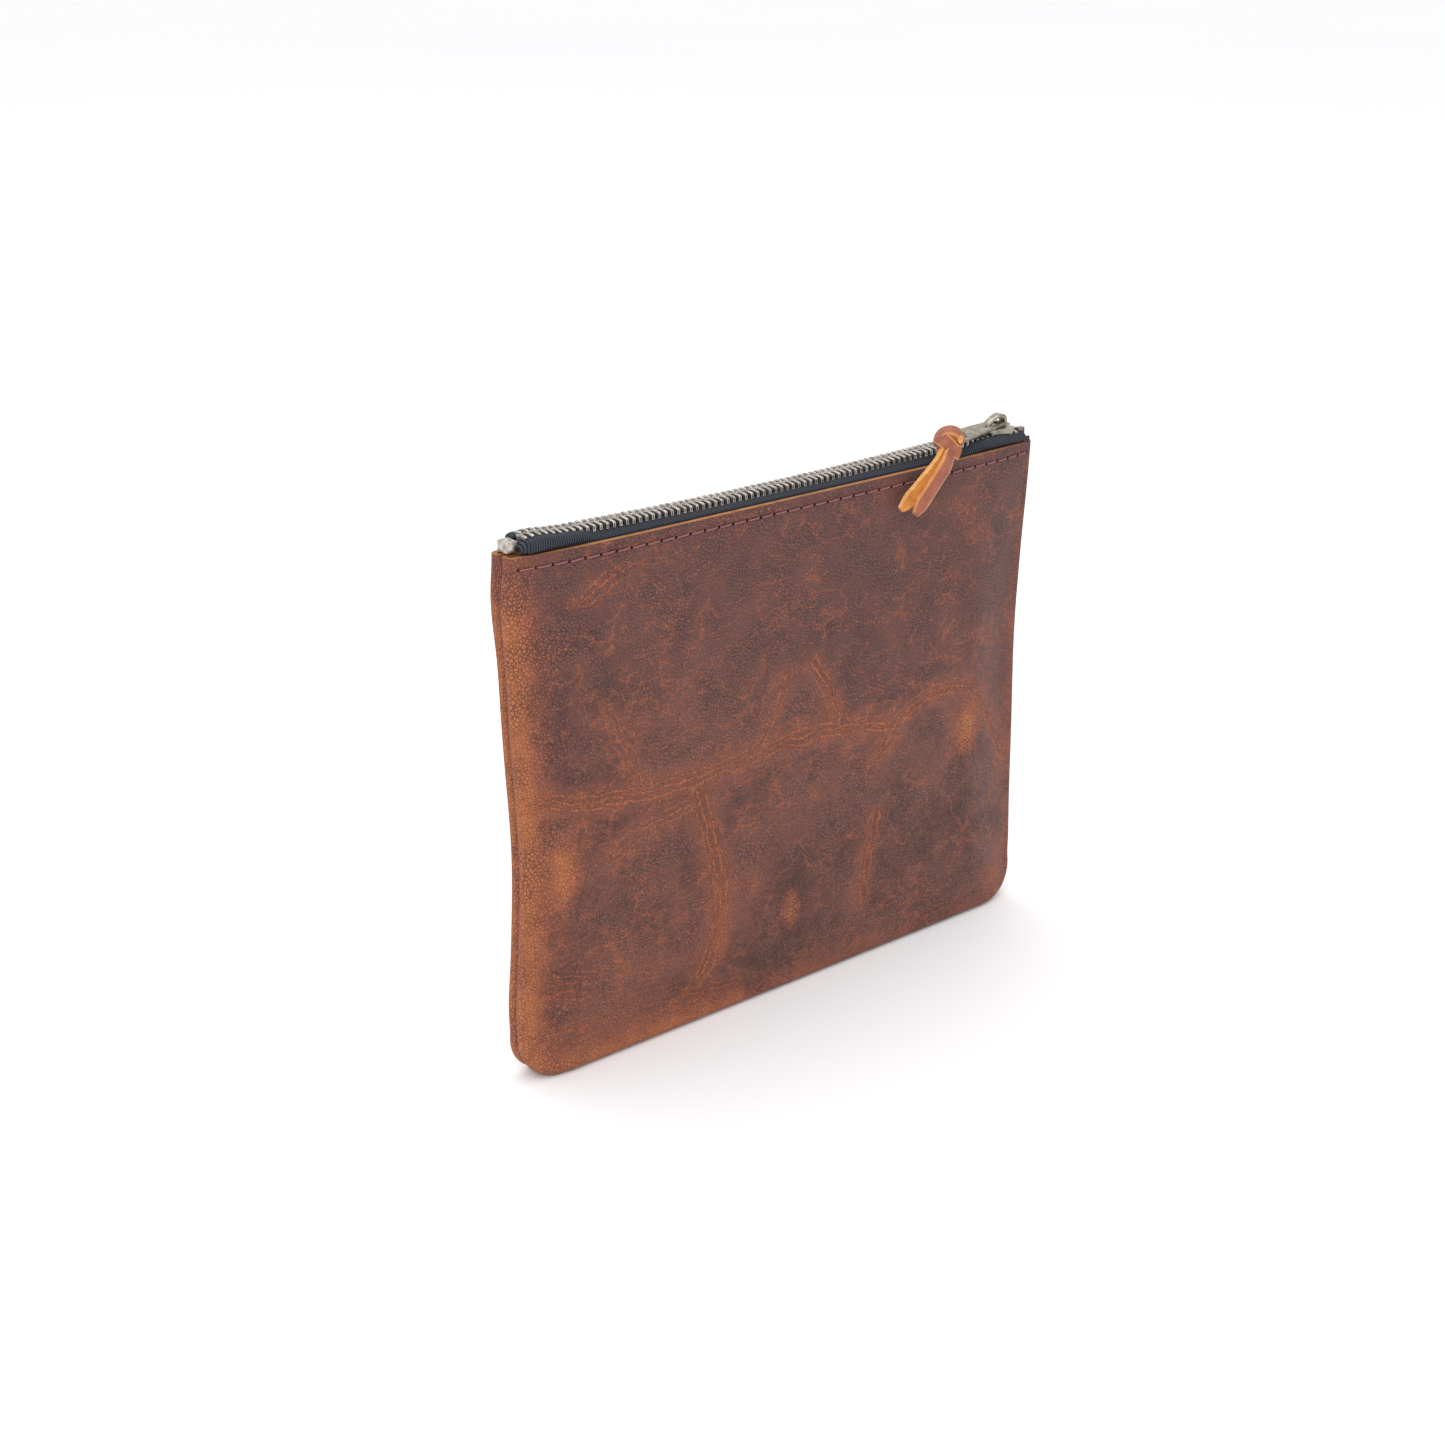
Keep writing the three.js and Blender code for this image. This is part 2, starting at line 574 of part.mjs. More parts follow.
function leatherPull() {
  const knot = new THREE.SphereGeometry(0.5, 14, 10).scale(...KNOT_SIZE);
  knot.translate(KNOT.x, KNOT.y, KNOT.z);
  return joined([
    stripLoop(),
    stripNeck(),
    knot,
    stripTail(TAIL_LEAN - TAIL_FAN / 2, 0, TAIL_LENGTH),
    stripTail(TAIL_LEAN + TAIL_FAN / 2, 1, TAIL_LENGTH - 2),
  ]);
}

// ---- Thread -----------------------------------------------------------------
const STITCH_Z = PANEL_HEIGHT - STITCH_DROP;

/** Needle thread of the top stitching, outside the back panel. */
function backNeedleThread() {
  const end = HALF_WIDTH - STITCH_END_MARGIN;
  const off = CLEARANCE + THREAD_RADIUS;
  const points = spread(-end, end, LINE_POINTS).map((x) => [x, outerHalf(x, STITCH_Z) + off, STITCH_Z]);
  return thread(points, LINE_POINTS + 8);
}

/** Bobbin thread of the top stitching, inside the pocket on the tape. */
function backBobbinThread() {
  const end = POCKET_HALF - 1;
  const off = 2 * CLEARANCE + TAPE_THICKNESS + THREAD_RADIUS;
  const points = spread(-end, end, LINE_POINTS).map((x) => [x, innerHalf(x, STITCH_Z) - off, STITCH_Z]);
  return thread(points, LINE_POINTS + 8);
}

/** Thread of the side and bottom seam, in the groove between the panels. */
function seamThread() {
  const deep = THREAD_RADIUS + THREAD_COVER;
  const radius = CORNER_RADIUS - deep;
  const side = spread(PANEL_HEIGHT - 2, CORNER_RADIUS + 4, 10).map((z) => [sideX(z) - deep, z]);
  const centreX = HALF_WIDTH - CORNER_RADIUS;
  const corner = spread(0, 90, 6).map((degrees) => {
    const turn = (degrees * Math.PI) / 180;
    return [centreX + radius * Math.cos(turn), CORNER_RADIUS - radius * Math.sin(turn)];
  });
  const right = [...side, ...corner];
  const left = right.toReversed().map(([x, z]) => [-x, z]);
  const steps = Math.round((2 * PANEL_HEIGHT + PANEL_WIDTH) / SEAM_STEP);
  return thread([...right, [0, deep], ...left].map(([x, z]) => [x, 0, z]), steps);
}

// ---- Assembly ---------------------------------------------------------------
const FINISHES = {
  leather: { color: 0x734b41, roughness: 0.62, metalness: 0 },
  strip: { color: 0xb4693f, roughness: 0.58, metalness: 0 },
  tape: { color: 0x1f2129, roughness: 0.9, metalness: 0 },
  nickel: { color: 0xb9b2a4, roughness: 0.34, metalness: 1 },
  bronze: { color: 0x8d8676, roughness: 0.38, metalness: 1 },
  thread: { color: 0x96505a, roughness: 0.7, metalness: 0 },
};

const pouch = new THREE.Group();

function addPiece(name, finish, geometry) {
  const piece = new THREE.Mesh(geometry, new THREE.MeshStandardMaterial(FINISHES[finish]));
  piece.name = name;
  pouch.add(piece);
}

/** Adds a piece of the back half and its mirror image on the front half. */
function addPair(name, finish, geometry) {
  addPiece(`back_${name}`, finish, geometry);
  addPiece(`front_${name}`, finish, mirrored(geometry));
}

addPair("panel", "leather", backPanel());
addPair("tape", "tape", backTape());
// The rows sit half a tooth apart, so that they mesh.
addPiece("back_teeth", "nickel", teethRow(TOOTH_PITCH / 4));
addPiece("front_teeth", "nickel", mirrored(teethRow(-TOOTH_PITCH / 4)));
addPiece("bottom_stop", "nickel", bottomStop());
addPair("top_stop", "nickel", backTopStop());
addPiece("slider_body", "bronze", sliderBody());
addPiece("pull_tab", "bronze", pullTab());
addPiece("leather_pull", "strip", leatherPull());
addPair("needle_thread", "thread", backNeedleThread());
addPair("bobbin_thread", "thread", backBobbinThread());
addPiece("seam_thread", "thread", seamThread());

export default pouch;
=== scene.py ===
"""Looks of a zippered leather pouch: turned panels, metal zip, stitching and knotted leather pull.

Sizes are in millimetres until a mesh is finished, and meshes are in metres.
+X runs along the zip, -Y is the front and +Z is up.
"""

import logging
import math
from contextlib import contextmanager
from dataclasses import dataclass, field
from enum import Enum
from typing import Callable, Iterator, Mapping, Sequence

import bmesh
import bpy
import numpy as np
from mathutils import Matrix, Vector


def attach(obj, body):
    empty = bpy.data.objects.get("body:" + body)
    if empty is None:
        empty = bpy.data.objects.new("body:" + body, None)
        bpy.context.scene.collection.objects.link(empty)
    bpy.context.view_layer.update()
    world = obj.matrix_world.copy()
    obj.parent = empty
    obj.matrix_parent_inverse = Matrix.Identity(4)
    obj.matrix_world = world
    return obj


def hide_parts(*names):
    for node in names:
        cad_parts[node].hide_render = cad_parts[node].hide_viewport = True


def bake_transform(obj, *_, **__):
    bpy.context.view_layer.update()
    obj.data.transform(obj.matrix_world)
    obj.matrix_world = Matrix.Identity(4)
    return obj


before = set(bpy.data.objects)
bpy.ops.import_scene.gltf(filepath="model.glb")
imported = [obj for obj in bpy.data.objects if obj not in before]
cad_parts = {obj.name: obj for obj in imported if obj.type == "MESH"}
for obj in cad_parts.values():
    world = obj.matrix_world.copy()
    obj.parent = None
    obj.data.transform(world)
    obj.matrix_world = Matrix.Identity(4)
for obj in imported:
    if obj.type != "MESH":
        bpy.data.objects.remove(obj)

MM = 0.001
Colour = tuple[float, float, float]
Point = tuple[float, float, float]
log = logging.getLogger("pouch")


class Side(Enum):
    """Which half of the pouch a piece belongs to, with the sign of its Y."""

    FRONT = -1
    BACK = 1

    @property
    def word(self) -> str:
        """The half's name as it stands in piece and node names."""
        return self.name.lower()


# ---- Curves of numbers ---------------------------------------------------------------------


def smooth_step(value: np.ndarray, start: float, end: float) -> np.ndarray:
    """Rises smoothly from 0 at start to 1 at end.

    Args:
        value: Where the rise is read.
        start: Value below which the answer is 0.
        end: Value above which the answer is 1.

    Returns:
        The height of the rise at each value.
    """
    t = np.clip((value - start) / (end - start), 0, 1)
    return t * t * (3 - 2 * t)


def hill(value: np.ndarray, middle: float, width: float) -> np.ndarray:
    """A rounded hill of height 1 at middle."""
    return np.exp(-(((value - middle) / width) ** 2))


def through(points: np.ndarray, samples: int) -> np.ndarray:
    """Lays a smooth curve through points.

    Args:
        points: Control points, the first axis counting along the curve.
        samples: How many points the answer has.

    Returns:
        Evenly numbered points on a Catmull-Rom curve through the control points.
    """
    t = np.linspace(0, len(points) - 1, samples)
    k = np.minimum(t.astype(int), len(points) - 2)
    f = (t - k).reshape((-1,) + (1,) * (points.ndim - 1))
    p0, p1 = points[np.maximum(k - 1, 0)], points[k]
    p2, p3 = points[k + 1], points[np.minimum(k + 2, len(points) - 1)]
    cubic = 3 * p1 - 3 * p2 + p3 - p0
    return 0.5 * (2 * p1 + (p2 - p0) * f + (2 * p0 - 5 * p1 + 4 * p2 - p3) * f**2 + cubic * f**3)


# ---- Shader building -----------------------------------------------------------------------


class Wire:
    """A shader socket whose arithmetic adds Math nodes."""

    def __init__(self, recipe: "Recipe", socket: bpy.types.NodeSocket) -> None:
        """Remembers the socket and the recipe that it belongs to."""
        self.recipe = recipe
        self.socket = socket

    def _math(self, operation: str, *values: "Wire | float") -> "Wire":
        """Adds one Math node that works on the given values."""
        return self.recipe.add("ShaderNodeMath", {"operation": operation}, dict(enumerate(values)))

    def __add__(self, other: "Wire | float") -> "Wire":
        """self + other."""
        return self._math("ADD", self, other)

    def __radd__(self, other: float) -> "Wire":
        """other + self."""
        return self._math("ADD", other, self)

    def __sub__(self, other: "Wire | float") -> "Wire":
        """self - other."""
        return self._math("SUBTRACT", self, other)

    def __rsub__(self, other: float) -> "Wire":
        """other - self."""
        return self._math("SUBTRACT", other, self)

    def __mul__(self, other: "Wire | float") -> "Wire":
        """self * other."""
        return self._math("MULTIPLY", self, other)

    def __rmul__(self, other: float) -> "Wire":
        """other * self."""
        return self._math("MULTIPLY", other, self)

    def __truediv__(self, other: "Wire | float") -> "Wire":
        """self / other."""
        return self._math("DIVIDE", self, other)

    def __pow__(self, other: float) -> "Wire":
        """self to the power other."""
        return self._math("POWER", self, other)

    def size(self) -> "Wire":
        """The value without its sign."""
        return self._math("ABSOLUTE", self)

    def rise(self, start: float, end: float) -> "Wire":
        """Rises smoothly from 0 at start to 1 at end, or falls where end is below start.

        Args:
            start: Value where the rise begins.
            end: Value where the rise is over.

        Returns:
            The height of the rise.
        """
        settings = {"interpolation_type": "SMOOTHSTEP"}
        low, high = min(start, end), max(start, end)
        ends = (0.0, 1.0) if start < end else (1.0, 0.0)
        sockets = {0: self, 1: low, 2: high, 3: ends[0], 4: ends[1]}
        return self.recipe.add("ShaderNodeMapRange", settings, sockets)


class Recipe:
    """One material's node tree, from the place on the piece to the finished surface."""

    def __init__(self, name: str) -> None:
        """Starts an empty material with its principled shader."""
        self.material = bpy.data.materials.new(name)
        self.material.use_nodes = True
        self.nodes = self.material.node_tree.nodes
        self.shader = self.nodes["Principled BSDF"]

    def add(
        self,
        kind: str,
        settings: Mapping[str, object],
        sockets: Mapping[str | int, object],
        output: str | int = 0,
    ) -> Wire:
        """Adds a node.

        Args:
            kind: The node's type.
            settings: Its properties, and "stops" for a colour ramp.
            sockets: Values or wires for its inputs, by name or number.
            output: The output that is wanted.

        Returns:
            The wanted output.
        """
        node = self.nodes.new(kind)
        for key, value in settings.items():
            if key == "stops":
                self._set_stops(node.color_ramp, value)
            else:
                setattr(node, key, value)
        for key, value in sockets.items():
            self._feed(node.inputs[key], value)
        return Wire(self, node.outputs[output])

    def _set_stops(self, ramp: bpy.types.ColorRamp, stops: Sequence[tuple[float, Colour]]) -> None:
        """Gives a colour ramp its stops."""
        while len(ramp.elements) < len(stops):
            ramp.elements.new(1.0)
        for element, (position, colour) in zip(ramp.elements, stops):
            element.position = position
            element.color = (*colour, 1)

    def _feed(self, socket: bpy.types.NodeSocket, value: object) -> None:
        """Links a wire to a socket, or sets the socket's own value."""
        if isinstance(value, Wire):
            self.material.node_tree.links.new(value.socket, socket)
        elif isinstance(value, tuple) and len(value) == 3 and socket.type == "RGBA":
            socket.default_value = (*value, 1)
        else:
            socket.default_value = value

    def place(self, turn: Point = (0, 0, 0), stretch: Point = (1, 1, 1)) -> Wire:
        """The place on the piece in millimetres.

        Args:
            turn: Angles in degrees that the pattern is turned by.
            stretch: How far the pattern is squeezed along each axis.

        Returns:
            Coordinates for a texture.
        """
        spot = self.add("ShaderNodeTexCoord", {}, {}, "Object")
        scale = tuple(s / MM for s in stretch)
        angles = tuple(math.radians(a) for a in turn)
        sockets = {"Vector": spot, "Rotation": angles, "Scale": scale}
        return self.add("ShaderNodeMapping", {}, sockets)

    def noise(self, place: Wire, size: float, detail: float = 3, rough: float = 0.55) -> Wire:
        """Cloudy noise around 0.5 whose blotches are about size millimetres across."""
        sockets = {"Vector": place, "Scale": 1 / size, "Detail": detail, "Roughness": rough}
        return self.add("ShaderNodeTexNoise", {}, sockets)

    def cells(self, place: Wire, size: float, feature: str = "F1") -> Wire:
        """Distance inside irregular cells about size millimetres across."""
        sockets = {"Vector": place, "Scale": 1 / size}
        return self.add("ShaderNodeTexVoronoi", {"feature": feature}, sockets)

    def attribute(self, name: str) -> Wire:
        """A number that the mesh holds at each vertex."""
        return self.add("ShaderNodeAttribute", {"attribute_name": name}, {}, "Fac")

    def blend(self, factor: Wire | float, low: object, high: object, how: str = "MIX") -> Wire:
        """Mixes two colours.

        Args:
            factor: 0 gives low and 1 gives high.
            low: The first colour.
            high: The second colour.
            how: The kind of mixing.

        Returns:
            The mixed colour.
        """
        settings = {"data_type": "RGBA", "blend_type": how, "clamp_factor": True}
        return self.add("ShaderNodeMix", settings, {0: factor, 6: low, 7: high}, 2)

    def bump(self, height: Wire, depth: float, strength: float = 1, under: Wire | None = None) -> Wire:
        """Turns heights into a normal.

        Args:
            height: Height from 0 to 1.
            depth: Millimetres that a height of 1 stands for.
            strength: How far the bump is believed.
            under: Another bump that this one lies on.

        Returns:
            The bumped normal.
        """
        sockets = {"Height": height, "Distance": depth * MM, "Strength": strength}
        if under is not None:
            sockets["Normal"] = under
        return self.add("ShaderNodeBump", {}, sockets)

    def finish(self, **sockets: object) -> bpy.types.Material:
        """Feeds the principled shader.

        Args:
            sockets: Values or wires, with spaces in names written as underscores.

        Returns:
            The finished material.
        """
        for key, value in sockets.items():
            self._feed(self.shader.inputs[key.replace("_", " ")], value)
        return self.material


# ---- Finishes ------------------------------------------------------------------------------


@dataclass(frozen=True)
class PanelLeather:
    """Waxed leather that turns from dark brown to tan where it is bent or rubbed."""

    name: str = "panel_leather"
    dark: Colour = (0.072, 0.028, 0.025)
    body: Colour = (0.185, 0.072, 0.054)
    plum: Colour = (0.120, 0.050, 0.047)
    rust: Colour = (0.330, 0.098, 0.048)
    tan: Colour = (0.470, 0.160, 0.055)
    pit: Colour = (0.040, 0.015, 0.011)
    pebble: float = 1.15
    line_gap: float = 2.3

    def _ground(self, recipe: Recipe, place: Wire, fine: Wire) -> Wire:
        """The dyed ground: dark, body and plum brown in clouds."""
        broad = recipe.noise(place, 30, 3)
        cloud = recipe.noise(place, 8, 4, 0.6)
        tone = (broad - 0.5) * 1.5 + (cloud - 0.5) * 0.7 + (fine - 0.5) * 1.3 + 0.56
        ground = recipe.blend(tone.rise(0.1, 0.9), self.dark, self.body)
        return recipe.blend(recipe.attribute("plum") * (0.4 + cloud * 0.7), ground, self.plum)

    def _fold_lines(self, recipe: Recipe, place: Wire, fold: Wire) -> Wire:
        """Bundles of fine wavy lines that run along each fold."""
        drift = recipe.noise(place, 7, 3, 0.6)
        across = recipe.attribute("across") + (drift - 0.5) * 5
        gap = {"operation": "PINGPONG"}
        stripe = recipe.add("ShaderNodeMath", gap, {0: across.size(), 1: self.line_gap / 2})
        broken = recipe.noise(place, 5, 3, 0.65)
        envelope = across.size().rise(5.2, 1.2)
        return (stripe.rise(0.62, 0.12) * broken.rise(0.28, 0.48) * envelope * fold).rise(0, 0.7)

    def _veins(self, recipe: Recipe, place: Wire) -> Wire:
        """Faint growth wrinkles that wander over the whole hide."""
        wide = (recipe.noise(place, 26, 3, 0.6) - 0.5).size().rise(0.016, 0.0)
        leaning = recipe.place((0, 30, 0), (0.6, 1, 1.3))
        close = (recipe.noise(leaning, 9, 3, 0.6) - 0.5).size().rise(0.03, 0.0)
        mask = recipe.noise(place, 38, 2).rise(0.40, 0.60)
        return wide * 0.75 + close * mask * 0.85

    def material(self) -> bpy.types.Material:
        """Builds the leather from its ground, folds, worn rolls and pebble grain."""
        recipe = Recipe(self.name)
        place = recipe.place()
        wear = recipe.attribute("wear")
        fold = recipe.attribute("fold")
        fine = recipe.noise(place, 1.3, 3, 0.7)
        cloud = recipe.noise(place, 6, 4, 0.65)
        edge = recipe.cells(place, self.pebble, "DISTANCE_TO_EDGE")
        valley = edge.rise(0.13, 0.02)
        lines = self._fold_lines(recipe, place, fold)
        veins = self._veins(recipe, place)
        net = valley * (recipe.noise(place, 12, 3) + fold * 0.3).rise(0.30, 0.70)
        colour = self._ground(recipe, place, fine)
        wrinkled = (fold * 0.22 + veins * 0.6 + net * 0.5) * (0.6 + cloud * 0.6)
        colour = recipe.blend(wrinkled, colour, self.rust)
        colour = recipe.blend(lines * 0.95, colour, self.rust)
        colour = recipe.blend((lines * cloud.rise(0.4, 0.7)) * 0.4, colour, self.tan)
        rub = wear + (cloud - 0.5) * 0.75 + (fine - 0.5) * 0.6
        colour = recipe.blend(rub.rise(0.10, 0.90) * wear.rise(0, 0.2) * 0.75, colour, self.rust)
        colour = recipe.blend(rub.rise(0.55, 1.45) * wear.rise(0, 0.3), colour, self.tan)
        colour = recipe.blend(valley * (0.60 + wear * 0.05) * (1 - net), colour, self.pit)
        grain = recipe.bump((1 - valley) + fine * 0.5, 0.30, 1.0)
        creased = recipe.bump(1 - lines * 0.8 - veins * 0.4, 0.35, 0.9, grain)
        return recipe.finish(
            Base_Color=colour,
            Roughness=0.56 + (cloud - 0.5) * 0.2 + wear * 0.08 - fine * 0.08,
            Normal=creased,
            Specular_IOR_Level=0.32,
        )


@dataclass(frozen=True)
class FibrousLeather:
    """The suede-like flesh side of leather, or its raw cut edge."""

    name: str
    light: Colour
    deep: Colour
    fibre: float = 0.5
    depth: float = 0.12

    def material(self) -> bpy.types.Material:
        """Builds short fibres and darker pits."""
        recipe = Recipe(self.name)
        place = recipe.place(stretch=(1, 1, 1.6))
        fibres = recipe.noise(place, self.fibre, 4, 0.7)
        blotch = recipe.noise(place, 4.5, 3)
        tone = (fibres - 0.5) * 1.3 + (blotch - 0.5) * 0.9 + 0.5
        return recipe.finish(
            Base_Color=recipe.blend(tone.rise(0.15, 0.85), self.deep, self.light),
            Roughness=0.78 + (fibres - 0.5) * 0.2,
            Normal=recipe.bump(fibres, self.depth, 0.8),
            Specular_IOR_Level=0.25,
        )


@dataclass(frozen=True)
class StripGrain:
    """The smooth grain side of the pull's thin leather."""

    name: str = "strip_grain"
    deep: Colour = (0.26, 0.068, 0.036)
    light: Colour = (0.42, 0.125, 0.055)
    # Colour of the painted highlight along the strip's edges.
    rubbed: Colour = (0.80, 0.40, 0.17)

    def material(self) -> bpy.types.Material:
        """Builds a close grain with a painted highlight along the strip's edges."""
        recipe = Recipe(self.name)
        place = recipe.place()
        blotch = recipe.noise(place, 3.4, 4, 0.6)
        pores = recipe.cells(place, 0.6, "DISTANCE_TO_EDGE").rise(0.0, 0.3)
        colour = recipe.blend(blotch.rise(0.3, 0.75), self.deep, self.light)
        # Painted highlight: lighter orange along the strip's edges, where the rim attribute is high.
        colour = recipe.blend(recipe.attribute("rim") * (0.5 + blotch * 0.6), colour, self.rubbed)
        return recipe.finish(
            Base_Color=recipe.blend((1 - pores) * 0.3, colour, (0.12, 0.03, 0.015)),
            Roughness=0.46 + (blotch - 0.5) * 0.25,
            Normal=recipe.bump(pores, 0.05, 0.6),
            Specular_IOR_Level=0.45,
        )


@dataclass(frozen=True)
class TapeWeave:
    """Black woven zip tape with a rib across it every warp."""

    name: str = "zip_tape"
    rib: float = 0.85
    black: Colour = (0.007, 0.008, 0.012)
    sheen: Colour = (0.060, 0.070, 0.100)

    def material(self) -> bpy.types.Material:
        """Builds the ribs and the fine threads that cross them."""
        recipe = Recipe(self.name)
        place = recipe.place()
        wobble = {"Vector": place, "Distortion": 0.5, "Detail": 1, "Detail Scale": 2}
        ribs = recipe.add(
            "ShaderNodeTexWave", {"bands_direction": "X"}, {**wobble, "Scale": 0.314 / self.rib}
        )
        picks = recipe.add(
            "ShaderNodeTexWave", {"bands_direction": "Z"}, {**wobble, "Scale": 0.314 / 0.5}
        )
        fuzz = recipe.noise(place, 0.35, 3, 0.7)
        weave = ribs * 0.75 + picks * 0.15 + fuzz * 0.2
        return recipe.finish(
            Base_Color=recipe.blend(weave.rise(0.45, 1.0), self.black, self.sheen),
            Roughness=0.72 + fuzz * 0.15,
            Normal=recipe.bump(weave, 0.4, 1.0),
            Specular_IOR_Level=0.4,
        )


@dataclass(frozen=True)
class AntiqueNickel:
    """Plated metal with dull, darker hollows."""

    name: str
    bright: Colour
    dull: Colour
    gloss: float = 0.3
    grime: float = 0.5

    def material(self) -> bpy.types.Material:
        """Builds the plating, its stains and fine scratches."""
        recipe = Recipe(self.name)
        place = recipe.place()
        stain = recipe.noise(place, 1.8, 4, 0.65)
        scratch = recipe.noise(recipe.place((0, 0, 25), (0.35, 4, 1)), 0.9, 3, 0.6)
        dirt = stain.rise(0.62, 0.36) * self.grime
        return recipe.finish(
            Base_Color=recipe.blend(dirt, self.bright, self.dull),
            Metallic=1.0,
            Roughness=self.gloss + dirt * 0.3 + (scratch - 0.5) * 0.16,
            Normal=recipe.bump(scratch * 0.5 + stain * 0.5, 0.03, 0.5),
        )


@dataclass(frozen=True)
class SewingThread:
    """Twisted sewing thread."""

    name: str = "sewing_thread"
    light: Colour = (0.40, 0.16, 0.17)
    deep: Colour = (0.13, 0.035, 0.045)
    twist: float = 0.55

    def material(self) -> bpy.types.Material:
        """Builds the slanting plies of the twist."""
        recipe = Recipe(self.name)
        turned = recipe.place((0, 38, 0))
        sockets = {"Vector": turned, "Scale": 0.314 / self.twist, "Distortion": 0.3}
        plies = recipe.add("ShaderNodeTexWave", {"bands_direction": "X"}, sockets)
        fuzz = recipe.noise(recipe.place(), 0.3, 2)
        return recipe.finish(
            Base_Color=recipe.blend(plies * 0.8 + fuzz * 0.25, self.deep, self.light),
            Roughness=0.6 + fuzz * 0.15,
            Normal=recipe.bump(plies, 0.12, 0.8),
        )


@dataclass(frozen=True)
class PlainMatt:
    """A dull surface with faint unevenness: needle holes, and the floor."""

    name: str
    colour: Colour
    shade: Colour
    size: float

    def material(self) -> bpy.types.Material:
        """Builds faint clouds of shade."""
        recipe = Recipe(self.name)
        clouds = recipe.noise(recipe.place(), self.size, 3)
        return recipe.finish(
            Base_Color=recipe.blend(clouds, self.shade, self.colour),
            Roughness=0.85,
            Specular_IOR_Level=0.15,
        )


# ---- Modelling steps -----------------------------------------------------------------------


class Piece:
    """A mesh being modelled, with the steps that shape and finish it."""

    def __init__(self, name: str, thing: bpy.types.Object) -> None:
        """Names the mesh and its object alike."""
        self.thing = thing
        thing.name = thing.data.name = name

    @staticmethod
    def _clear() -> None:
        """Deselects everything, so that a step acts on its own piece only."""
        if bpy.context.mode != "OBJECT":
            bpy.ops.object.mode_set(mode="OBJECT")
        bpy.ops.object.select_all(action="DESELECT")

    def _choose(self) -> None:
        """Selects this piece alone and makes it active."""
        self._clear()
        self.thing.select_set(True)
        bpy.context.view_layer.objects.active = self.thing

    @classmethod
    def grid(cls, name: str, columns: int, rows: int) -> "Piece":
        """A flat sheet of columns by rows cells, from -1 to 1 in X and Y."""
        cls._clear()
        bpy.ops.mesh.primitive_grid_add(x_subdivisions=columns, y_subdivisions=rows, size=2)
        return cls(name, bpy.context.object)

    @classmethod
    def block(cls, name: str, centre: Point, size: Point) -> "Piece":
        """A block at its size and place, in millimetres."""
        cls._clear()
        bpy.ops.mesh.primitive_cube_add(
            size=1, location=[c * MM for c in centre], scale=[s * MM for s in size]
        )
        bpy.ops.object.transform_apply()
        return cls(name, bpy.context.object)

    @classmethod
    def ball(cls, name: str, centre: Point, size: Point) -> "Piece":
        """A rounded lump at its size and place, in millimetres."""
        cls._clear()
        bpy.ops.mesh.primitive_ico_sphere_add(
            subdivisions=4, radius=0.5, location=[c * MM for c in centre], scale=[s * MM for s in size]
        )
        bpy.ops.object.transform_apply()
        return cls(name, bpy.context.object)

    @classmethod
    def rod(cls, name: str, length: float, radius: float, sides: int = 8) -> "Piece":
        """A rod along X about the origin, in millimetres."""
        cls._clear()
        bpy.ops.mesh.primitive_cylinder_add(
            vertices=sides, radius=radius * MM, depth=length * MM, rotation=(0, math.pi / 2, 0)
        )
        bpy.ops.object.transform_apply()
        return cls(name, bpy.context.object)

    @classmethod
    def copy_of(cls, name: str, node: str) -> "Piece":
        """A copy of a frame node whose triangles are merged into clean faces."""
        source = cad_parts[node]
        thing = bpy.data.objects.new(name, source.data.copy())
        bpy.context.scene.collection.objects.link(thing)
        thing.data.materials.clear()
        piece = cls(name, thing)
        with piece.editing():
            bpy.ops.mesh.select_all(action="SELECT")
            bpy.ops.mesh.remove_doubles(threshold=0.002 * MM)
            bpy.ops.mesh.dissolve_limited(angle_limit=math.radians(3))
        return piece

    @contextmanager
    def editing(self) -> Iterator[None]:
        """Edit mode on this piece alone, with nothing picked."""
        self._choose()
        bpy.ops.object.mode_set(mode="EDIT")
        bpy.ops.mesh.select_all(action="DESELECT")
        yield
        bpy.ops.object.mode_set(mode="OBJECT")

    def pick(self, test: Callable[[Vector, Vector], bool]) -> None:
        """Selects, in edit mode, only the faces that pass a test.

        Args:
            test: Told a face's centre in millimetres and its normal.
        """
        bpy.ops.mesh.select_mode(type="FACE")
        bpy.ops.mesh.select_all(action="DESELECT")
        mesh = bmesh.from_edit_mesh(self.thing.data)
        for face in mesh.faces:
            face.select_set(test(face.calc_center_median() / MM, face.normal))
        bmesh.update_edit_mesh(self.thing.data)

    def pick_edges(self, test: Callable[[Vector, Vector], bool]) -> None:
        """Selects, in edit mode, only the edges that pass a test.

        Args:
            test: Told an edge's middle in millimetres and its direction.
        """
        bpy.ops.mesh.select_mode(type="EDGE")
        bpy.ops.mesh.select_all(action="DESELECT")
        mesh = bmesh.from_edit_mesh(self.thing.data)
        for edge in mesh.edges:
            first, last = (v.co for v in edge.verts)
            edge.select_set(test((first + last) / 2 / MM, (last - first).normalized()))
        bmesh.update_edit_mesh(self.thing.data)

    def pull(self, way: Point, grow: Point = (1, 1, 1)) -> None:
        """Extrudes the picked faces in edit mode.

        Args:
            way: How far they move, in millimetres.
            grow: How they are scaled after the move.
        """
        move = {"value": [w * MM for w in way]}
        bpy.ops.mesh.extrude_region_move(TRANSFORM_OT_translate=move)
        bpy.ops.transform.resize(value=grow)

    def reshape(self, shape: Callable[[np.ndarray], np.ndarray]) -> "Piece":
        """Moves every vertex.

        Args:
            shape: Told all places in millimetres, one row each; answers with the new ones.

        Returns:
            This piece.
        """
        vertices = self.thing.data.vertices
        flat = np.empty(len(vertices) * 3)
        vertices.foreach_get("co", flat)
        moved = shape(flat.reshape(-1, 3) / MM) * MM
        vertices.foreach_set("co", moved.ravel())
        self.thing.data.update()
        return self

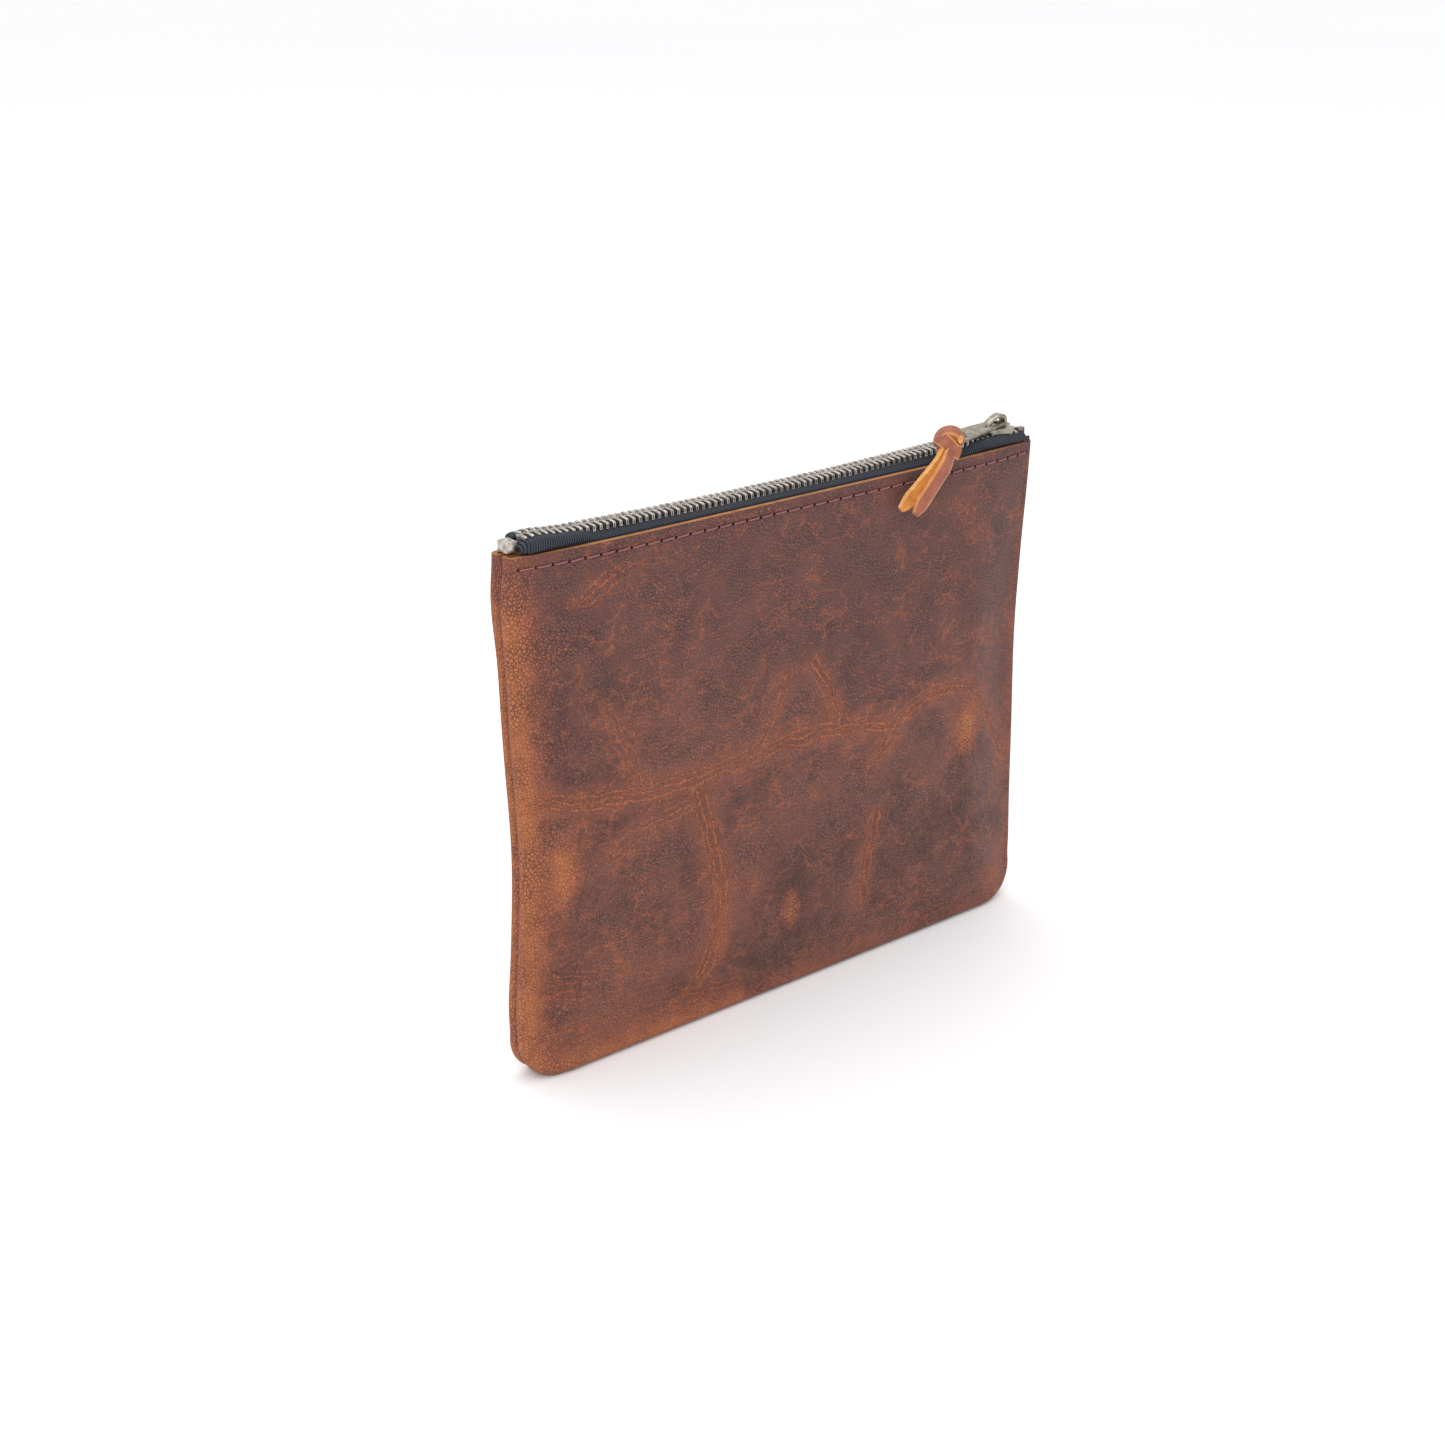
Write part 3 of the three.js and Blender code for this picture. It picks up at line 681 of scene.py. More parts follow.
    def places(self) -> np.ndarray:
        """All vertices in millimetres, one row each."""
        flat = np.empty(len(self.thing.data.vertices) * 3)
        self.thing.data.vertices.foreach_get("co", flat)
        return flat.reshape(-1, 3) / MM

    def remember(self, name: str, values: np.ndarray) -> None:
        """Stores a number at every vertex, for a finish to read."""
        attribute = self.thing.data.attributes.new(name, "FLOAT", "POINT")
        attribute.data.foreach_set("value", values.astype(np.float32))

    def modify(self, kind: str, **settings: object) -> "Piece":
        """Adds a modifier and applies it.

        Args:
            kind: The modifier's type.
            settings: Its properties.

        Returns:
            This piece.
        """
        self._choose()
        modifier = self.thing.modifiers.new(kind.lower(), kind)
        for key, value in settings.items():
            setattr(modifier, key, value)
        bpy.ops.object.modifier_apply(modifier=modifier.name)
        return self

    def smooth(self, degrees: float = 50) -> "Piece":
        """Shades smoothly over edges flatter than an angle."""
        self._choose()
        bpy.ops.object.shade_smooth_by_angle(angle=math.radians(degrees))
        return self

    def dress(self, *materials: bpy.types.Material) -> "Piece":
        """Gives the piece its material slots, in order."""
        self.thing.data.materials.clear()
        for material in materials:
            self.thing.data.materials.append(material)
        return self

    def repeated(self, name: str, places: Sequence[Matrix]) -> "Piece":
        """Copies the piece to many places and joins the copies.

        Args:
            name: The name of the joined piece.
            places: Where each copy goes, in metres.

        Returns:
            The joined piece; this one is used up.
        """
        copies = []
        for place in places:
            data = self.thing.data.copy()
            data.transform(place)
            copies.append(bpy.data.objects.new(name, data))
            bpy.context.scene.collection.objects.link(copies[-1])
        bpy.data.objects.remove(self.thing)
        return Piece.joined(name, [Piece(name, copy) for copy in copies])

    @classmethod
    def joined(cls, name: str, pieces: Sequence["Piece"]) -> "Piece":
        """Joins pieces into one, which keeps all their material slots."""
        cls._clear()
        for piece in pieces:
            piece.thing.select_set(True)
        bpy.context.view_layer.objects.active = pieces[0].thing
        if len(pieces) > 1:
            bpy.ops.object.join()
        return cls(name, pieces[0].thing)

    def report(self, body: str) -> None:
        """Logs the piece, its body and its size."""
        log.info("%s rides %s, %d faces", self.thing.name, body, len(self.thing.data.polygons))

    def attach(self, body: str, slot: str, *nodes: str) -> None:
        """Fixes the piece to a body of the frame.

        Args:
            body: The body that it rides on.
            slot: The name of a material slot; not used.
            nodes: The frame's nodes that it stands for.
        """
        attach(self.thing, body)
        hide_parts(*nodes)
        self.report(body)

    def attach_half(self, side: Side, form: "Form", slot: str, *nodes: str) -> None:
        """Fixes a piece to the front half, or bakes a back half's piece where it stands.

        Args:
            side: The half that it belongs to.
            form: The pouch's form, which says how the back opens.
            slot: The name of a material slot; not used.
            nodes: The frame's nodes that it stands for.
        """
        if side is Side.FRONT:
            self.attach("pouch", slot, *nodes)
            return
        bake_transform(self.thing, "pouch", "back_half", start=(0, 0, 0), end=(0, 0, form.height * MM))
        weights = form.opening_share(self.places()).astype(np.float32)
        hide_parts(*nodes)
        self.report("back_half")


# ---- The pouch's form ----------------------------------------------------------------------


@dataclass(frozen=True)
class Form:
    """The pouch's outside form and the line of its zip, in millimetres."""

    width: float = 218
    height: float = 172
    leather: float = 1.8
    corner: float = 13
    waist: float = 1.2
    roll: float = 3.4
    side_roll: float = 3.8
    foot_roll: float = 7.8
    full: float = 8.8
    fill_distance: float = 30
    mouth: float = 6.4
    mouth_corner: float = 1.9
    mouth_blend: float = 40
    chain_rise: float = 3.6
    chain_half: float = 2.95
    pitch: float = 2.42
    teeth: int = 84
    spread: float = 1.6
    spread_start: float = 93.665
    spread_end: float = 98.14

    def side_line(self, z: np.ndarray) -> np.ndarray:
        """How much of the full half width the side line keeps at height z."""
        drawn_in = self.waist * np.sin(np.pi * np.clip(z / self.height, 0, 1))
        return 1 - drawn_in / (self.width / 2)

    def outline_shift(self, x: np.ndarray, z: np.ndarray) -> np.ndarray:
        """How far the limp side edges stray from the straight pattern.

        Args:
            x: Distance from the middle.
            z: Height.

        Returns:
            The shift along X.
        """
        left = -1.8 * hill(z, 75, 30) + 0.8 * hill(z, 155, 12)
        left = left - 0.8 * hill(z, 172, 8) + 0.8 * hill(z, 25, 12)
        right = -1.3 * hill(z, 105, 30) + 0.5 * hill(z, 22, 14)
        share = (np.abs(x) / (self.width / 2)) ** 4
        return np.where(x < 0, -left, right) * share

    def mouth_half(self, x: np.ndarray) -> np.ndarray:
        """Inner half width of the mouth at the raw edge."""
        fullness = (1 - np.clip(np.abs(x) / (self.width / 2), 0, 1) ** 6) ** 0.6
        return self.mouth_corner + (self.mouth - self.mouth_corner) * fullness

    def face_depth(self, inside: np.ndarray, x: np.ndarray, z: np.ndarray) -> np.ndarray:
        """Half depth of the face, without its rolls.

        Args:
            inside: Distance from the outline.
            x: Distance from the middle.
            z: Height.

        Returns:
            The half depth.
        """
        side = self.width / 2 - np.abs(x)
        bottomness = np.clip(0.5 + (side - z) / (2 * self.corner), 0, 1)
        rolled = self.side_roll + (self.foot_roll - self.side_roll) * bottomness
        face = rolled + (self.full - rolled) * smooth_step(inside, 0, self.fill_distance)
        top = smooth_step(z, self.height - self.mouth_blend, self.height)
        return face + (self.mouth_half(x) + self.leather - face) * top

    def chain_height(self, x: np.ndarray) -> np.ndarray:
        """Height of the chain's middle, with its sag and the hump at its closed end."""
        sag = -1.35 * np.exp(-(np.abs((x + 8) / 64) ** 3))
        return self.height + self.chain_rise + sag + 0.9 * hill(x, -97, 7)

    def chain_parting(self, x: np.ndarray) -> np.ndarray:
        """How far the slider's post has pushed each row of teeth out."""
        return self.spread * smooth_step(x, self.spread_start, self.spread_end)

    def opening_share(self, places: np.ndarray) -> np.ndarray:
        """How far each place follows the back half as the mouth opens.

        Args:
            places: Places in millimetres, one row each.

        Returns:
            0 at the seams and 1 in the middle of the mouth.
        """
        across = np.clip(1 - (np.abs(places[:, 0]) / 104) ** 2, 0, 1)
        return across * smooth_step(places[:, 2], 8, 150)


@dataclass(frozen=True)
class Crease:
    """A fold line across a panel, as X and Z points in millimetres."""

    points: tuple[tuple[float, float], ...]
    strength: float = 1.0
    reach: float = 3.0

    def measure(self, x: np.ndarray, z: np.ndarray) -> tuple[np.ndarray, np.ndarray]:
        """Finds how far places are from the crease.

        Args:
            x: Places along X.
            z: Places along Z.

        Returns:
            The distance, and the same with the sign of the crease's side.
        """
        best = np.full(x.shape, 1e9)
        signed = np.full(x.shape, 1e9)
        line = through(np.array(self.points, float), 6 * len(self.points))
        for (x0, z0), (x1, z1) in zip(line, line[1:]):
            dx, dz = x1 - x0, z1 - z0
            length2 = dx * dx + dz * dz + 1e-9
            t = np.clip(((x - x0) * dx + (z - z0) * dz) / length2, 0, 1)
            ex, ez = x - x0 - t * dx, z - z0 - t * dz
            distance = np.hypot(ex, ez)
            nearer = distance < best
            best = np.where(nearer, distance, best)
            signed = np.where(nearer, np.copysign(distance, dx * ez - dz * ex), signed)
        return best, signed


@dataclass(frozen=True)
class Patch:
    """A rubbed place on a panel."""

    x: float
    z: float
    wide: float
    high: float
    strength: float = 0.8


FRONT_CREASES = (
    Crease(
        ((-115, 95), (-101, 94), (-85, 91), (-69, 90), (-56, 89), (-33, 89), (-8, 91), (22, 90), (41, 86))
    ),
    Crease(((36, 75), (42, 82), (49, 89), (65, 93), (78, 90), (87, 81), (96, 69), (103, 58)), 0.8),
    Crease(((-44, 83), (-40, 71), (-37, 59), (-33, 46), (-36, 28), (-41, 18)), 1.1, 3.6),
    Crease(((6, 115), (14, 102), (20, 89)), 0.8),
    Crease(((-5, 114), (-10, 105), (-16, 95)), 0.5),
    Crease(((36, 53), (32, 38), (29, 25)), 0.7),
    Crease(((-77, 116), (-71, 103), (-64, 92)), 0.45),
    Crease(((-78, 71), (-64, 77), (-47, 80)), 0.5),
    Crease(((-107, 51), (-94, 69), (-89, 84)), 0.4),
    Crease(((-98, 35), (-80, 31), (-62, 26)), 0.4),
    Crease(((-97, 27), (-77, 24), (-57, 21)), 0.4),
    Crease(((-93, 9), (-67, 10), (-41, 9)), 0.5),
    Crease(((-104, 16), (-65, 14), (-26, 9)), 0.45),
    Crease(((-84, 156), (-76, 160), (-69, 162)), 0.5),
    Crease(((71, 107), (80, 108), (88, 108)), 0.3),
    Crease(((72, 156), (78, 151), (83, 145)), 0.3),
)
FRONT_PATCHES = (
    Patch(79, 75, 7, 11, 0.95),
    Patch(-3, 30, 5, 8, 0.75),
    Patch(-94, 69, 5, 13, 0.7),
    Patch(-8, 103, 4, 4, 0.45),
    Patch(-19, 44, 4, 6, 0.4),
    Patch(-33, 30, 6, 12, 0.5),
    Patch(68, 130, 6, 8, 0.3),
    Patch(97, 12, 8, 8, 0.35),
)
BACK_CREASES = (
    Crease(((-96, 62), (-60, 71), (-22, 69), (18, 76), (58, 73), (99, 82)), 0.8),
    Crease(((12, 74), (19, 52), (15, 30), (24, 12)), 0.9, 3.4),
    Crease(((-52, 70), (-61, 92), (-57, 114)), 0.6),
    Crease(((48, 118), (66, 104), (92, 101)), 0.5),
    Crease(((-90, 26), (-58, 21), (-28, 24)), 0.4),
    Crease(((44, 20), (72, 27), (97, 22)), 0.4),
)
BACK_PATCHES = (
    Patch(-70, 60, 8, 10, 0.6),
    Patch(52, 40, 6, 12, 0.6),
    Patch(20, 128, 7, 5, 0.35),
    Patch(-30, 20, 9, 5, 0.4),
)


# ---- Leather panels ------------------------------------------------------------------------


@dataclass
class Panel:
    """One panel: a leather sheet whose sides and foot roll round into their seam allowances."""

    side: Side
    form: Form
    creases: Sequence[Crease]
    patches: Sequence[Patch]
    cell: float = 1.45
    roll_cell: float = 0.7
    turned: float = 15
    lip: float = 0.2
    thickness: float = 1.7
    rubbing: float = 1.35

    def _columns(self) -> np.ndarray:
        """Places of the sheet's columns along X, closer together on the rolls."""
        line = self.form.width / 2 - self.form.roll
        face = np.linspace(-line, line, round(2 * line / self.cell) + 1)
        steps = np.arange(1, round(self.turned / self.roll_cell) + 1) * self.roll_cell
        return np.concatenate([(-line - steps)[::-1], face, line + steps])

    def _rows(self) -> np.ndarray:
        """Heights of the sheet's rows, closer together on the foot's roll."""
        line, top = self.form.roll, self.form.height
        face = np.linspace(line, top, round((top - line) / self.cell) + 1)
        steps = np.arange(1, round(self.turned / self.roll_cell) + 1) * self.roll_cell
        return np.concatenate([(line - steps)[::-1], face])

    def _relief(self, x: np.ndarray, z: np.ndarray) -> np.ndarray:
        """Depth that folds, dents and slack add to the face.

        Args:
            x: Places along X.
            z: Heights.

        Returns:
            The added depth, fading out at the top edge.
        """
        swell = 0.45 * np.sin(x / 19 + 1.3) * np.sin(z / 23 + 0.4) + 0.3 * np.sin(x / 31 - z / 17)
        for crease in self.creases:
            distance, _ = crease.measure(x, z)
            ridge = 0.3 * hill(distance, 3.2, 2.4) - 0.42 * hill(distance, 0, 1.5)
            swell += crease.strength * ridge
        return swell * (1 - smooth_step(z, self.form.height - 22, self.form.height - 4))

    def _lay(self, flat: np.ndarray) -> np.ndarray:
        """Lays the flat sheet on the pouch's form and turns its edges in.

        Args:
            flat: The grid's places from -1 to 1.

        Returns:
            Places in millimetres, and the distance past the roll's line in a fourth column.
        """
        form = self.form
        columns, rows = self._columns(), self._rows()
        a = np.interp((flat[:, 0] + 1) / 2 * (len(columns) - 1), range(len(columns)), columns)
        b = np.interp((flat[:, 1] + 1) / 2 * (len(rows) - 1), range(len(rows)), rows)
        centre, radius = form.width / 2 - form.corner, form.corner - form.roll
        u, v = np.abs(a) - centre, form.corner - b
        far = np.maximum(np.maximum(u, v), 1e-6)
        turn = np.pi / 4 * np.clip(np.minimum(u, v) / far, 0, 1)
        angle = np.where(u >= v, turn, np.pi / 2 - turn)
        out_x, out_z = np.cos(angle), -np.sin(angle)
        past = np.maximum(u, v) - radius
        base_x = np.where(u > 0, centre, np.abs(a))
        base_x = base_x + np.where(u > 0, np.minimum(far, radius) * out_x, 0)
        base_z = np.where(v > 0, form.corner + np.minimum(far, radius) * out_z, b)
        depth = form.face_depth(np.maximum(form.roll - past, form.roll), base_x, base_z)
        depth += self._relief(np.copysign(base_x, a), base_z) * smooth_step(form.roll - past, 2, 9)
        half = (depth - self.lip) / 2
        reach = np.minimum(form.roll, half)
        flat_run, bend_run = form.roll - reach, np.pi * (reach + half) / 2
        bend = np.clip((past - flat_run) / bend_run, 0, 1) * np.pi
        back = np.maximum(past - flat_run - bend_run, 0)
        run = np.where(past > 0, np.minimum(past, flat_run) + reach * np.sin(bend) - back, 0)
        y = np.where(past > 0, (depth + self.lip) / 2 + half * np.cos(bend), depth)
        x = np.copysign(base_x + run * out_x, a)
        z = base_z + run * out_z
        x = x * form.side_line(z) + form.outline_shift(x, z)
        return np.stack([x, y, z, past, np.copysign(base_x, a), base_z], axis=1)

    def build(self, *finishes: bpy.types.Material) -> Piece:
        """Models the sheet, stores what its finish reads and gives it the leather's thickness.

        Args:
            finishes: The grain side's, the flesh side's and the cut edge's materials.

        Returns:
            The panel.
        """
        name = f"{self.side.word}_panel_leather"
        piece = Piece.grid(name, len(self._columns()) - 1, len(self._rows()) - 1).dress(*finishes)
        sign = self.side.value
        piece.reshape(lambda flat: flat * [-sign, 1, 1])
        laid = self._lay(piece.places() * MM)
        piece.reshape(lambda _: laid[:, :3] * [1, sign, 1])
        x, z, past = laid[:, 4], laid[:, 5], laid[:, 3]
        fold, across = np.zeros(len(x)), np.full(len(x), 9.0)
        nearest = np.full(len(x), 1e9)
        for crease in self.creases:
            distance, signed = crease.measure(x, z)
            mask = crease.strength * np.exp(-((distance / (2 * crease.reach)) ** 4))
            across = np.where(distance < nearest, signed, across)
            nearest = np.minimum(nearest, distance)
            fold = np.maximum(fold, mask)
        left = smooth_step(-x, -30, 60)
        rolled = np.clip(1 + past / (8 + 12 * left), 0, 1) ** 2.0 * (0.45 + 0.55 * left)
        foot = np.clip(1 - z / 22, 0, 1) ** 1.3 * (0.45 + 0.4 * left)
        wear = np.maximum(rolled * (1 - 0.45 * smooth_step(z, 150, 172)), foot)
        for patch in self.patches:
            spread = hill(x, patch.x, patch.wide) * hill(z, patch.z, patch.high)
            wear += self.rubbing * patch.strength * spread
        piece.remember("wear", np.clip(wear, 0, 1.2))
        piece.remember("fold", fold)
        piece.remember("across", np.clip(across, -9, 9))
        piece.remember("plum", smooth_step(z + 0.25 * x, 70, 150))
        solid = {"thickness": self.thickness * MM, "offset": -1.0, "use_rim": True}
        piece.modify("SOLIDIFY", **solid, material_offset=1, material_offset_rim=2)
        return piece.smooth(55)


# ---- Zip -----------------------------------------------------------------------------------


@dataclass
class Tape:
    """One side of the woven zip tape, with the corded edge that the teeth clamp."""

    side: Side
    form: Form
    drop: float = 11
    start: float = -103.4
    end: float = 106.2
    pocket: float = 100.4
    shelf: float = 6.1
    thickness: float = 0.6
    bead: float = 0.62
    columns: int = 240
    rows: int = 26

    def _dip(self, x: np.ndarray) -> np.ndarray:
        """How far the tape's ends slant down behind the leather."""
        return 3.0 * smooth_step(x, 103.6, self.end) + 1.6 * smooth_step(-x, 101.4, -self.start)

    def _section(self, x: np.ndarray) -> np.ndarray:
        """The tape's cross section at each x.

        Args:
            x: Places along the zip.

        Returns:
            Half widths and heights, from the tape's lower edge to its bead.
        """
        form = self.form
        chain = form.chain_height(x) - self._dip(x)
        edge = form.chain_half - 0.5 + form.chain_parting(x)
        top = form.height
        outside = smooth_step(np.abs(x), self.pocket - 1, self.pocket)
        mouth = form.mouth_half(x) - 0.7
        near = smooth_step(np.abs(x), 74, 86)
        low_edge = chain - 0.95

        def under(z: float) -> np.ndarray:
            """Half width just inside the leather at height z."""
            depth = form.face_depth(np.full(x.shape, 30.0), x, np.full(x.shape, z))
            return depth - form.leather - 0.75

        foot, hem = top - self.drop, top - 5
        low = [(under(foot), foot), (under(hem), hem), (mouth, top - 0.2)]
        low = [(w, z + (top + 0.5 - z) * outside) for w, z in low]
        low = [(w + (mouth - w) * outside, z) for w, z in low]
        past = smooth_step(np.abs(x), self.pocket, 105)
        shelf = self.shelf + (edge + 1.4 - self.shelf) * past
        box = [
            (shelf - 0.4, top + 1.0),
            (shelf, top + 1.9),
            (shelf - 0.15, chain - 0.7),
            (shelf - 1.0, chain),
        ]
        slope = [
            (mouth - 0.1, top + 0.5),
            (mouth + (edge - mouth) * 0.36, top + 0.75 + (low_edge - top - 0.6) * 0.3),
            (mouth + (edge - mouth) * 0.7, top + 0.9 + (low_edge - top - 0.6) * 0.6),
            (mouth + (edge - mouth) * 0.9, low_edge),
        ]
        upper = [
            (s[0] + (b[0] - s[0]) * near, s[1] + (b[1] - s[1]) * near) for s, b in zip(slope, box)
        ]
        points = low + upper + [(edge, low_edge + 0.2 + (chain - low_edge - 0.2) * near)]
        return np.array([[np.broadcast_to(c, x.shape) for c in point] for point in points])

    def build(self) -> Piece:
        """Models the tape's sheet and its corded edge."""
        piece = Piece.grid(f"{self.side.word}_zip_tape", self.columns, self.rows)
        sign = self.side.value
        piece.reshape(lambda flat: flat * [sign, 1, 1])

        def lay(flat: np.ndarray) -> np.ndarray:
            """Lays the grid on the section at each column."""
            u, v = flat[:, 0] * MM, flat[:, 1] * MM
            x = self.start + (u + 1) / 2 * (self.end - self.start)
            levels = np.round((v + 1) / 2 * self.rows).astype(int)
            line = through(self._section(x), self.rows + 1)
            spots = np.arange(len(x))
            return np.stack([x, sign * line[levels, 0, spots], line[levels, 1, spots]], axis=1)

        piece.reshape(lay)
        piece.modify("SOLIDIFY", thickness=self.thickness * MM, offset=0.0)
        bead = Piece.rod("bead", 2 * -self.start, self.bead, 10)
        with bead.editing():
            bead.pick_edges(lambda middle, way: abs(way.x) > 0.9)
            bpy.ops.mesh.subdivide(number_cuts=160)

        def follow(spots: np.ndarray) -> np.ndarray:
            """Bends the straight cord along the chain."""
            x = spots[:, 0]
            y = sign * (self.form.chain_half - 0.75 + self.form.chain_parting(x)) + spots[:, 1]
            return np.stack([x, y, spots[:, 2] + self.form.chain_height(x) - self._dip(x)], axis=1)

        bead.reshape(follow)
        return Piece.joined(piece.thing.name, [piece, bead]).smooth(60)


@dataclass
class ToothRow:
    """One row of clamped metal teeth."""

    side: Side
    form: Form
    head: tuple[float, float, float] = (1.0, 1.5, 2.0)
    reach: float = 0.7
    height: float = 2.4

    def _tooth(self) -> Piece:
        """Models one tooth of the front row: a dimpled head, a shoulder and the clamping legs."""
        wide, long, tall = self.head
        tooth = Piece.block("tooth", (0, self.reach - long / 2, 0), (wide, long, tall))
        with tooth.editing():
            tooth.pick(lambda centre, normal: normal.y < -0.9)
            tooth.pull((0, -0.45, 0), (1.2, 1, self.height / tall))
            tooth.pull((0, self.reach - long + 1.55 - self.form.chain_half, 0), (0.88, 1, 0.86))
            tooth.pull((0, -0.45, 0), (0.9, 1, 0.78))
            bpy.ops.mesh.inset(thickness=0.24 * MM)
            tooth.pull((0, 0.5, 0))
            tooth.pick(lambda centre, normal: normal.z > 0.9 and centre.y > -0.5)
            bpy.ops.mesh.inset(thickness=0.24 * MM)
            tooth.pull((0, 0, -0.32), (0.8, 0.8, 1))
            tooth.pick_edges(lambda middle, way: middle.z > 0.6 and abs(middle.x) > 0.4)
            bpy.ops.mesh.bevel(offset=0.13 * MM, segments=1)
        return tooth

    def build(self) -> Piece:
        """Copies the tooth along the chain."""
        tooth = self._tooth()
        sign = self.side.value
        if self.side is Side.BACK:
            with tooth.editing():
                bpy.ops.mesh.select_all(action="SELECT")
                bpy.ops.transform.rotate(value=math.pi, orient_axis="Z", center_override=(0, 0, 0))
        first = -(self.form.teeth - 1) / 2 * self.form.pitch + sign * self.form.pitch / 4
        centres = first + np.arange(self.form.teeth) * self.form.pitch
        parting = self.form.chain_parting(centres)
        heights = self.form.chain_height(centres)
        slopes = np.gradient(heights, centres)
        places = []
        for x, out, z, slope in zip(centres, parting, heights, slopes):
            tilt = Matrix.Rotation(-math.atan(slope), 4, "Y")
            places.append(Matrix.Translation(Vector((x, sign * out, z)) * MM) @ tilt)
        return tooth.repeated(f"{self.side.word}_zip_teeth", places).smooth(35)


@dataclass
class Stops:
    """The bottom stop that joins both rows, and the top stop at the end of each row."""

    form: Form
    bottom: Point = (3.8, 5.2, 3.4)
    bottom_x: float = -105.04
    bottom_drop: float = 1.1
    top: Point = (3.0, 2.2, 3.2)
    top_x: float = 103.54

    def build_bottom(self) -> Piece:
        """Models the square bottom stop with its hollowed top."""
        height = self.form.height + self.form.chain_rise - self.bottom_drop
        centre = (self.bottom_x, 0, height)
        stop = Piece.block("bottom_stop_metal", centre, self.bottom)
        with stop.editing():
            for way in (-1, 1):
                stop.pick(lambda middle, normal: normal.z * way > 0.9)
                bpy.ops.mesh.inset(thickness=0.9 * MM)
                stop.pull((0, 0, -0.5 * way), (0.75, 0.75, 1))
            bpy.ops.mesh.select_all(action="SELECT")
            bpy.ops.mesh.bevel(offset=0.28 * MM, segments=2)
        return stop.smooth(40)

    def build_top(self, side: Side) -> Piece:
        """Models a top stop: a short clamp bent round the corded edge."""
        y = self.form.chain_half + self.form.spread - self.top[1] / 2
        centre = (self.top_x, side.value * y, self.form.height + self.form.chain_rise)
        stop = Piece.block(f"{side.word}_top_stop_metal", centre, self.top)
        with stop.editing():
            stop.pick(lambda middle, normal: normal.y * side.value > 0.9)
            bpy.ops.mesh.inset(thickness=0.5 * MM)
            stop.pull((0, -0.5 * side.value, 0))
            bpy.ops.mesh.select_all(action="SELECT")
            bpy.ops.mesh.bevel(offset=0.3 * MM, segments=3)
        return stop.smooth(40)


@dataclass
class Slider:
    """The slider's cast body and its pull tab, with softened edges."""

    edge: float = 0.16
    hinge: tuple[float, float] = (96.865, 178.9)
    tab_length: float = 23
    lean: float = 28
    aside: float = 3.2
    sag: float = 0.7

    def build(self, name: str, node: str) -> Piece:
        """Copies a frame node and rounds its sharp edges."""
        piece = Piece.copy_of(name, node)
        limit = {"limit_method": "ANGLE", "angle_limit": math.radians(35)}
        piece.modify("BEVEL", width=self.edge * MM, segments=3, harden_normals=False, **limit)
        return piece.smooth(40)

    def build_tab(self) -> Piece:
        """Copies the tab and lets its far end lean over to the side that the pull hangs on."""
        piece = self.build("tab_metal", "pull_tab")

        def lean(spots: np.ndarray) -> np.ndarray:
            """Turns each place about the tab's long axis, more towards its far end."""
            x, y, z = spots.T
            hinge_x, hinge_z = self.hinge
            turn = np.radians(self.lean) * smooth_step(-x, -hinge_x, self.tab_length - hinge_x)
            up = z - hinge_z
            end = np.clip((hinge_x - x) / self.tab_length, 0, 1) ** 2
            across = y * np.cos(turn) - up * np.sin(turn) - self.aside * end
            high = hinge_z + y * np.sin(turn) + up * np.cos(turn) - self.sag * end
            return np.stack([x, across, high], 1)

        return piece.reshape(lean)


# ---- Leather pull --------------------------------------------------------------------------


@dataclass
class Strip:
    """A length of flat leather strip, as a path with the way its face looks."""

    path: Sequence[Point]
    faces: Sequence[Point]
    widths: Sequence[float]
    thickness: float = 1.5
    bow: float = 0.0
    steps: int = 44
    across: int = 8

    def build(self, name: str, finishes: Sequence[bpy.types.Material]) -> Piece:
        """Sweeps the strip along its path, grain side to the way it faces.

        Args:
            name: The strip's name.
            finishes: The grain side's, the flesh side's and the cut edge's materials.

        Returns:
            The strip.
        """
        piece = Piece.grid(name, self.steps, self.across).dress(*finishes)
        line = through(np.array(self.path, float), self.steps + 1)
        look = through(np.array(self.faces, float), self.steps + 1)
        width = through(np.array(self.widths, float), self.steps + 1)
        along = np.gradient(line, axis=0)
        along /= np.linalg.norm(along, axis=1)[:, None]
        look -= along * np.sum(along * look, axis=1)[:, None]
        look /= np.linalg.norm(look, axis=1)[:, None]
        over = np.cross(look, along)

        def lay(flat: np.ndarray) -> np.ndarray:
            """Puts each cell corner beside the path."""
            k = np.round((flat[:, 0] * MM + 1) / 2 * self.steps).astype(int)
            v = flat[:, 1:2] * MM
            return line[k] + over[k] * v * width[k][:, None] / 2 - look[k] * self.bow * v**2

        # Mask of the painted highlight along the strip's long edges, stored as the rim attribute.
        rim = smooth_step(np.abs(piece.places()[:, 1]) * MM, 0.74, 1.0)
        piece.reshape(lay)
        piece.remember("rim", rim)
        solid = {"thickness": self.thickness * MM, "offset": -1.0}
        piece.modify("SOLIDIFY", **solid, material_offset=1, material_offset_rim=2)
        return piece.smooth(55)


